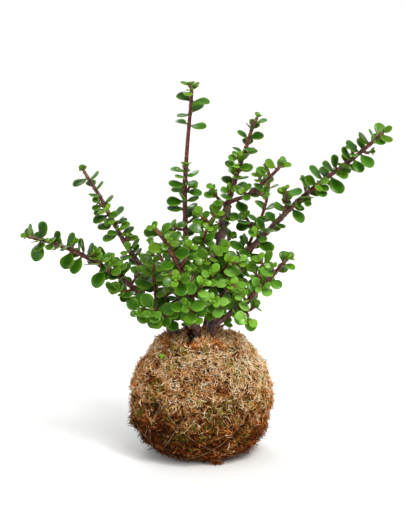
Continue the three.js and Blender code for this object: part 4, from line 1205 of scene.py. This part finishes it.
def family_of(points):
    """The colour family of each strand: rust below and round the neck, green in patches, else tan."""
    high = points[:, 2]
    rust = 0.1 + 0.85 * (1 - ease(16, 60, high)) + 0.3 * ease(96, 103, high)
    rust += 0.35 * (patchiness(points, 30, 3) - 0.5) + 0.2 * ease(-25, -60, points[:, 0])
    rust += 0.2 * ease(28, 58, points[:, 0]) * (1 - ease(60, 90, high))
    rust = np.maximum(rust, 0.9 * near_spots(points, *RUST_SPOTS))
    green = 0.32 * ease(0.62, 0.9, patchiness(points, 26, 5)) * ease(6, 28, high) * (1 - ease(92, 100, high))
    green = np.maximum(green, 0.68 * near_spots(points, *GREEN_SPOTS))
    chance = random.random(len(points))
    return np.where(chance < green, GREEN, np.where(random.random(len(points)) < rust, RUST, TAN))


def strand_tones_with_painted_light(points, deep):
    """Painted light and shade: paler at the top and the right, darker below, at the lower left, in the neck
    and where it lies deep; darker too at the dark spots, some of which are painted shade.
    """
    # Painted light from above and from the right, and painted shade below and in the neck under the crown
    tone = 0.6 + 0.36 * (patchiness(points, 16, 8) - 0.5) + 0.46 * (ease(12, 84, points[:, 2]) - 0.5)
    tone += 0.2 * ease(-50, 30, points[:, 0]) - 0.1 - 0.14 * ease(100, 104, points[:, 2])
    # Painted shade at the lower left
    tone -= (0.02 + 0.16 * ease(0, -45, points[:, 0])) * (1 - ease(14, 44, points[:, 2]))
    for spot in SHADE_AND_DARK_SPOTS:
        tone -= 0.55 * near_spots(points, spot)
    # Painted shade where a strand lies deep in the moss
    return np.clip(tone + random.normal(0, 0.27, len(points)) - 0.44 * deep, 0, 1)


def fill_heaps(heaps, paths, ups, deep, thick):
    """Shares the strands out to the heaps, by family and by front and back."""
    share = np.linspace(0, 1, STRAND_STEPS)
    radii = thick[:, None] * (0.35 + 0.65 * np.sin(math.pi * np.clip(share * 0.85 + 0.08, 0, 1)))
    paths[..., 2] += np.maximum(0, 0.15 + radii - paths[..., 2])
    middle = paths[:, STRAND_STEPS // 2]
    family = family_of(middle)
    tones = strand_tones_with_painted_light(middle, deep)
    for (index, front), heap in heaps.items():
        chosen = (family == index) & ((middle[:, 1] < 0) == front)
        points, faces = tubes(paths[chosen], radii[chosen], ups[chosen], 3)
        heap.add(points, faces, tone=np.repeat(tones[chosen], STRAND_STEPS * 3))


def curled(starts, headings, curls, lengths, lift, stand):
    """Strands that wander over the ball: directions from the belly, turned by their curl at each step."""
    here, heading = starts, headings
    paths, ups = [], []
    for k in range(STRAND_STEPS):
        share = k / (STRAND_STEPS - 1)
        high = lift * np.sin(math.pi * (0.2 + 0.8 * share)) + stand * share**1.3
        paths.append(moss_surface(here) + here * high[:, None])
        ups.append(here)
        heading = unit_rows(heading - here * (heading * here).sum(axis=1, keepdims=True))
        turn = (curls * (0.5 + random.random(len(here))))[:, None]
        heading = heading * np.cos(turn) + np.cross(here, heading) * np.sin(turn)
        here = unit_rows(here + heading * (lengths / (STRAND_STEPS - 1) / BALL_RADIUS)[:, None])
    return np.stack(paths, axis=1), np.stack(ups, axis=1)


def side_strands(heaps):
    starts = directions(STRANDS)
    surface = moss_surface(starts)
    thin = random.random(len(starts)) < 0.55 * ease(0.62, 0.8, patchiness(surface, 7, 12))
    starts = starts[(surface[:, 2] < 100) & ~thin]
    count = len(starts)
    deep = random.random(count) ** 0.9
    lift = lerp(*SURFACE_LIFTS, deep) + random.normal(0, LIFT_STRAY, count)
    standing = random.random(count) < STANDING_SHARE
    stand = np.where(standing, ranged(STANDING_HEIGHTS, count), ranged(LYING_HEIGHTS, count))
    surface = moss_surface(starts)
    stand *= 0.6 + 0.9 * ease(0.4, 0.8, patchiness(surface, 11, 21)) + 0.3 * (1 - ease(20, 50, surface[:, 2]))
    lengths = ranged(STRAND_LENGTHS, count)
    curls = random.normal(0, 0.6, count)
    paths, ups = curled(starts, directions(count), curls, lengths, lift, stand)
    fill_heaps(heaps, paths, ups, deep, 0.2 + 0.3 * random.random(count) ** 1.5)


def mound_height(points):
    """The tufted top between the lip and the stems."""
    away = np.hypot(points[:, 0], points[:, 1])
    bumps = 1.5 * np.sin(points[:, 0] * 0.55 + 1.0) * np.sin(points[:, 1] * 0.6 + 0.4)
    bumps += 0.8 * np.sin(points[:, 0] * 1.3 + points[:, 1] * 0.9)
    return MOUND_EDGE + MOUND_RISE * (1 - (away / MOUND_RADIUS) ** 2) + bumps


def top_strands(heaps):
    """Strands over the mound, with a dark gap between the stems."""
    away = MOUND_RADIUS * np.sqrt(random.random(TOP_STRANDS))
    turn = 2 * math.pi * random.random(TOP_STRANDS)
    here = np.stack([away * np.cos(turn), away * np.sin(turn), np.zeros(TOP_STRANDS)], axis=1)
    here = here[~np.all(np.abs(here[:, :2] - NOTCH) < NOTCH_HALF, axis=1)]
    count = len(here)
    heading = 2 * math.pi * random.random(count)
    curl = random.normal(0, 0.9, count)
    steep = np.where(random.random(count) < STEEP_SHARE, ranged(STEEP_ANGLES, count), FLAT_ANGLE)
    step = ranged(TOP_LENGTHS, count) / (STRAND_STEPS - 1)
    deep = random.random(count)
    paths = []
    for k in range(STRAND_STEPS):
        height = mound_height(here) - MOUND_DEPTH * deep + np.sin(steep) * step * k
        paths.append(np.column_stack([here[:, :2], height]))
        heading = heading + curl * (0.5 + random.random(count))
        way = np.stack([np.cos(heading), np.sin(heading), 0 * heading], axis=1)
        here = here + way * (step * np.cos(steep))[:, None]
    paths = np.stack(paths, axis=1)
    ups = np.broadcast_to(np.array([0.05, 0.03, 1.0]), paths.shape)
    fill_heaps(heaps, paths, ups, deep, ranged(TOP_THICKNESSES, count))


def fallen_tuft(heaps):
    """The small clump that hangs from the ball's foot onto the floor in front."""
    base = np.array(TUFT_PLACE) + random.normal(0, 1, (TUFT_STRANDS, 3)) * TUFT_REACH
    steps = random.normal(0, 1.0, (STRAND_STEPS, TUFT_STRANDS, 3))
    paths = np.swapaxes(base[None] + np.cumsum(steps, axis=0), 0, 1).copy()
    ups = np.broadcast_to(np.array([0.2, 0.1, 1.0]), paths.shape)
    deep = random.random(TUFT_STRANDS)
    fill_heaps(heaps, paths, ups, deep, ranged(TUFT_THICKNESSES, TUFT_STRANDS))


CORE_RINGS = 60
CORE_SEGMENTS = 96
CORE_TOP_SLOPE = 56.5
CORE_DEPTH = 1.3
CORE_FLOOR = 0.3
LIP_HEIGHT = 97.0
HOLLOW_HEIGHT = 91.0


def core_piece(material):
    """The moss wrap's body a little under the strands, closed, with the CAD's opening and a hollow."""
    lowest = -math.degrees(math.asin((BELLY_HEIGHT / BOTTOM_DROP) ** (BOTTOM_POWER / 2)))
    profile = [(0.0, CORE_FLOOR)]
    for i in range(CORE_RINGS + 1):
        slope = math.radians(lerp(lowest, CORE_TOP_SLOPE, i / CORE_RINGS))
        rise, run = math.sin(slope), math.cos(slope)
        if rise >= 0:
            profile.append((BALL_RADIUS * run, BELLY_HEIGHT + TOP_RISE * rise))
        else:
            power = 2 / BOTTOM_POWER
            profile.append((BALL_RADIUS * run**power, BELLY_HEIGHT - BOTTOM_DROP * (-rise) ** power))
    profile += [(OPENING_RADIUS, LIP_HEIGHT), (OPENING_RADIUS, HOLLOW_HEIGHT), (0.0, HOLLOW_HEIGHT)]
    points, faces = revolved(profile[::-1], CORE_SEGMENTS)
    distance = distances(points, BELLY)
    way = (points - np.array(BELLY)) / distance[:, None]
    outer = (distance > ball_reach(way) - 1) & (points[:, 2] > CORE_FLOOR + 0.1)
    points[outer] = (moss_surface(way) - way * CORE_DEPTH)[outer]
    points[:, 2] = np.maximum(points[:, 2], CORE_FLOOR)
    make_piece("moss_core", points, faces, material, "moss", ["moss_wrap"])


SPRIG_PLACE = (-31.0, -34.0, 90.0)
SPRIG_LEAVES = (4.2, 3.4, 3.8, 2.8)


def sprig_piece(material):
    """A tiny bright plant that has seeded itself on the ball's front."""
    heap = Heap()
    out = unit(plus(SPRIG_PLACE, BELLY, -1))
    for k, size in enumerate(SPRIG_LEAVES):
        leaf = small_leaf(plus(SPRIG_PLACE, out), out, sideways(out, 100 * k + 20), size, 880 + k)
        add_blade(heap, leaf, 880 + k, 0.75, 0.3, SMALL)
    heap.make("sprig_on_moss", material, "leaf")


# Thread: the CAD's loops, finer, and more of the same kind
MORE_WRAPS = [(30, 105), (34, 259), (38, 310), (27, 234)]
THREAD_STEPS = 120
THREAD_SIDES = 5
THREAD_RADIUS = 0.1
THREAD_FLOOR = 0.6
THREAD_LIFT = 0.5
THREAD_LIFT_RANGE = 0.5


def thread_loop(lean, turn, above):
    """The points of one closed loop a little above the moss, and their directions from the belly."""
    tilt, swing = math.radians(90 - lean), math.radians(turn)
    tip = (math.sin(tilt) * math.sin(swing), -math.sin(tilt) * math.cos(swing), math.cos(tilt))
    first = side_of(tip)
    angles = around(THREAD_STEPS)[:, None]
    way = np.cos(angles) * np.array(first) + np.sin(angles) * np.array(cross(tip, first))
    reach = distances(moss_surface(way), BELLY)
    for feeler in THREAD_FEELERS:
        lean_by = math.radians(feeler)
        near = way * math.cos(lean_by) + np.array(tip) * math.sin(lean_by)
        reach = np.maximum(reach, distances(moss_surface(near), BELLY))
    reach = np.convolve(np.concatenate([reach[-4:], reach, reach[:4]]), np.ones(9) / 9, "valid")
    path = np.array(BELLY) + way * (reach + above)[:, None]
    path[:, 2] = np.maximum(path[:, 2], THREAD_FLOOR)
    return path, way


def thread_piece(material):
    heap = Heap()
    angles = around(THREAD_SIDES)[:, None]
    number = np.arange(THREAD_STEPS * THREAD_SIDES).reshape(THREAD_STEPS, THREAD_SIDES)
    beside, after = np.roll(number, -1, axis=1), np.roll(number, -1, axis=0)
    walls = np.stack([number, beside, np.roll(after, -1, axis=1), after], axis=2).reshape(-1, 4)
    for index, (lean, turn) in enumerate(THREAD_WRAPS + MORE_WRAPS):
        path, way = thread_loop(lean, turn, THREAD_LIFT + THREAD_LIFT_RANGE * draw(index, 91))
        along = unit_rows(np.roll(path, -1, axis=0) - np.roll(path, 1, axis=0))
        ring = np.cos(angles) * way[:, None] + np.sin(angles) * np.cross(along, way)[:, None]
        heap.add((path[:, None] + THREAD_RADIUS * ring).reshape(-1, 3), [walls])
    heap.make("binding_thread_fine", material, "thread", ["binding_thread"])


# Soil: the core's dome, rough with crumbs
SOIL_RINGS = 16
SOIL_SEGMENTS = 48
SOIL_RADIUS = OPENING_RADIUS - 0.3
SOIL_FLOOR = FOOT - 4
SOIL_ROUGHNESS = 0.35
CRUMBS = 200
CRUMB_REACH = 29
CRUMB_SIZE = 0.5
CRUMB_RANGE = 1.1
CRUMB_STRAY = 0.16
CRUMB_FLATNESS = (1, 1, 0.8)


def soil_height(share):
    """The soil's height at a share of the way from its middle to the opening."""
    return SOIL_TOP - (SOIL_TOP - SOIL_RIM + 3) * share**2.2


def soil_piece(material):
    shares = [i / SOIL_RINGS for i in range(SOIL_RINGS + 1)]
    profile = [(SOIL_RADIUS * share, soil_height(share)) for share in shares]
    points, faces = revolved(profile + [(SOIL_RADIUS, SOIL_FLOOR), (0.0, SOIL_FLOOR)], SOIL_SEGMENTS)
    count = SOIL_RINGS * SOIL_SEGMENTS
    points[1:1 + count, 2] += random.normal(0, SOIL_ROUGHNESS, count)
    make_piece("soil_fine", points, faces, material, "soil", ["soil_core"])


def crumb_piece(material):
    shape = bmesh.new()
    bmesh.ops.create_icosphere(shape, subdivisions=1, radius=1.0)
    corner = np.array([v.co[:] for v in shape.verts])
    faces = np.array([[v.index for v in f.verts] for f in shape.faces])
    shape.free()
    heap = Heap()
    for _ in range(CRUMBS):
        away, turn = CRUMB_REACH * math.sqrt(random.random()), 2 * math.pi * random.random()
        size = CRUMB_SIZE + CRUMB_RANGE * random.random() ** 2
        height = soil_height(away / OPENING_RADIUS) + 0.2 * size
        place = np.array([away * math.cos(turn), away * math.sin(turn), height])
        jitter = 1 + random.normal(0, CRUMB_STRAY, (len(corner), 3))
        heap.add(place + corner * jitter * size * np.array(CRUMB_FLATNESS), [faces])
    heap.make("soil_crumbs", material, "soil")


leaf_material, bark_material = leaf_look(), bark_look()
for node in sorted(LIMBS):
    stem_pieces(node, leaf_material, bark_material)
sprig_piece(leaf_material)

# The core's dark browns show through the gaps between the strands, partly as painted shade there
core_browns = [(0.35, 30, 17, 10), (0.52, 62, 38, 20), (0.68, 104, 68, 36)]
core_piece(crumbly_look("moss_core", 0.1, (260, 6, 0.75), core_browns, (320, 6, 0.8), 0.9, 0.003))
strand_heaps = {(family, front): Heap() for family in (TAN, RUST, GREEN) for front in (True, False)}
side_strands(strand_heaps)
top_strands(strand_heaps)
fallen_tuft(strand_heaps)
strand_looks = {
    "tan": [(0, 92, 50, 18), (0.3, 178, 114, 56), (0.6, 242, 190, 122), (1, 255, 244, 212)],
    "rust": [(0, 48, 18, 2), (0.35, 124, 56, 12), (0.65, 196, 106, 38), (1, 242, 176, 102)],
    "green": [(0, 60, 54, 14), (0.4, 108, 102, 30), (0.75, 164, 150, 58), (1, 214, 196, 108)],
}
for family, (colour, stops) in enumerate(strand_looks.items()):
    material = strand_look("moss_" + colour, *stops)
    for front in (True, False):
        name = "moss_strands_" + colour + ("_front" if front else "_back")
        strand_heaps[family, front].make(name, material, "moss")

thread_piece(plain_look("thread", (214, 186, 138), 0.4, 0.5))
soil_browns = [(0.35, 14, 10, 8), (0.6, 38, 27, 20), (0.75, 70, 52, 40)]
soil_material = crumbly_look("soil", 0.15, (300, 5, 0.7), soil_browns, (380, 5, 0.7), 0.8, 0.002)
soil_piece(soil_material)
crumb_piece(soil_material)

# Floor, light and camera, in metres
FLOOR_RADIUS = 3.0
FLOOR_BEND = 1.2
WALL_TOP = 2.6
LIT_PLACE = Vector((0, 0, 0.14))
VIEW_HEIGHT = math.radians(8.5)
AWAY = 1.071
AIM = Vector((0.0013, 0.0, 0.1725))
FOCAL_PIXELS = 1250
IMAGE_HEIGHT = 510
SENSOR = 36


def bowl_floor(material):
    """A flat pale floor that bends up into a low round wall far away."""
    profile = [(FLOOR_RADIUS * share, 0.0) for share in (0, 0.1, 0.3, 0.6)]
    for k in range(13):
        angle = math.radians(7.5 * k)
        profile.append((FLOOR_RADIUS + FLOOR_BEND * math.sin(angle), FLOOR_BEND * (1 - math.cos(angle))))
    profile.append((FLOOR_RADIUS + FLOOR_BEND, WALL_TOP))
    mesh_object("floor", *revolved(profile, 72), material)


def turned_to(heading):
    return heading.to_track_quat("-Z", "Y").to_euler()


def add_light(name, kind, power, heading, place=(0, 0, 0), **traits):
    light = place_object(name, bpy.data.lights.new(name, kind))
    light.data.energy = power
    for trait, value in traits.items():
        setattr(light.data, trait, value)
    light.location = place
    light.rotation_euler = turned_to(heading)


def soft_box(name, place, size, power, colour):
    add_light(name, "AREA", power, LIT_PLACE - Vector(place), place, shape="DISK", size=size, color=colour)


bowl_floor(plain_look("floor", (240, 239, 237), 0.7, 0.3))
soft_box("key", (0.7, -0.95, 1.6), 0.36, 11, (1.0, 0.98, 0.95))
soft_box("fill", (-1.4, -0.9, 0.9), 1.2, 5, (0.94, 0.97, 1.0))
soft_box("rim", (-0.5, 1.4, 1.2), 1.0, 10, (1.0, 1.0, 1.0))
add_light("sun", "SUN", 1.7, Vector((-0.5, 0.8, -1.15)), angle=math.radians(38))

scene = bpy.context.scene
scene.view_settings.view_transform = "Standard"
scene.world = bpy.data.worlds.new("studio")
scene.world.use_nodes = True
background = scene.world.node_tree.nodes["Background"].inputs
background["Color"].default_value = (0.95, 0.97, 1.0, 1.0)
background["Strength"].default_value = 0.62

camera = place_object("camera", bpy.data.cameras.new("camera"))
camera.data.sensor_width = SENSOR
camera.data.lens = FOCAL_PIXELS / IMAGE_HEIGHT * SENSOR
camera.location = AIM + Vector((0, -math.cos(VIEW_HEIGHT), math.sin(VIEW_HEIGHT))) * AWAY
camera.rotation_euler = turned_to(AIM - camera.location)
scene.camera = camera
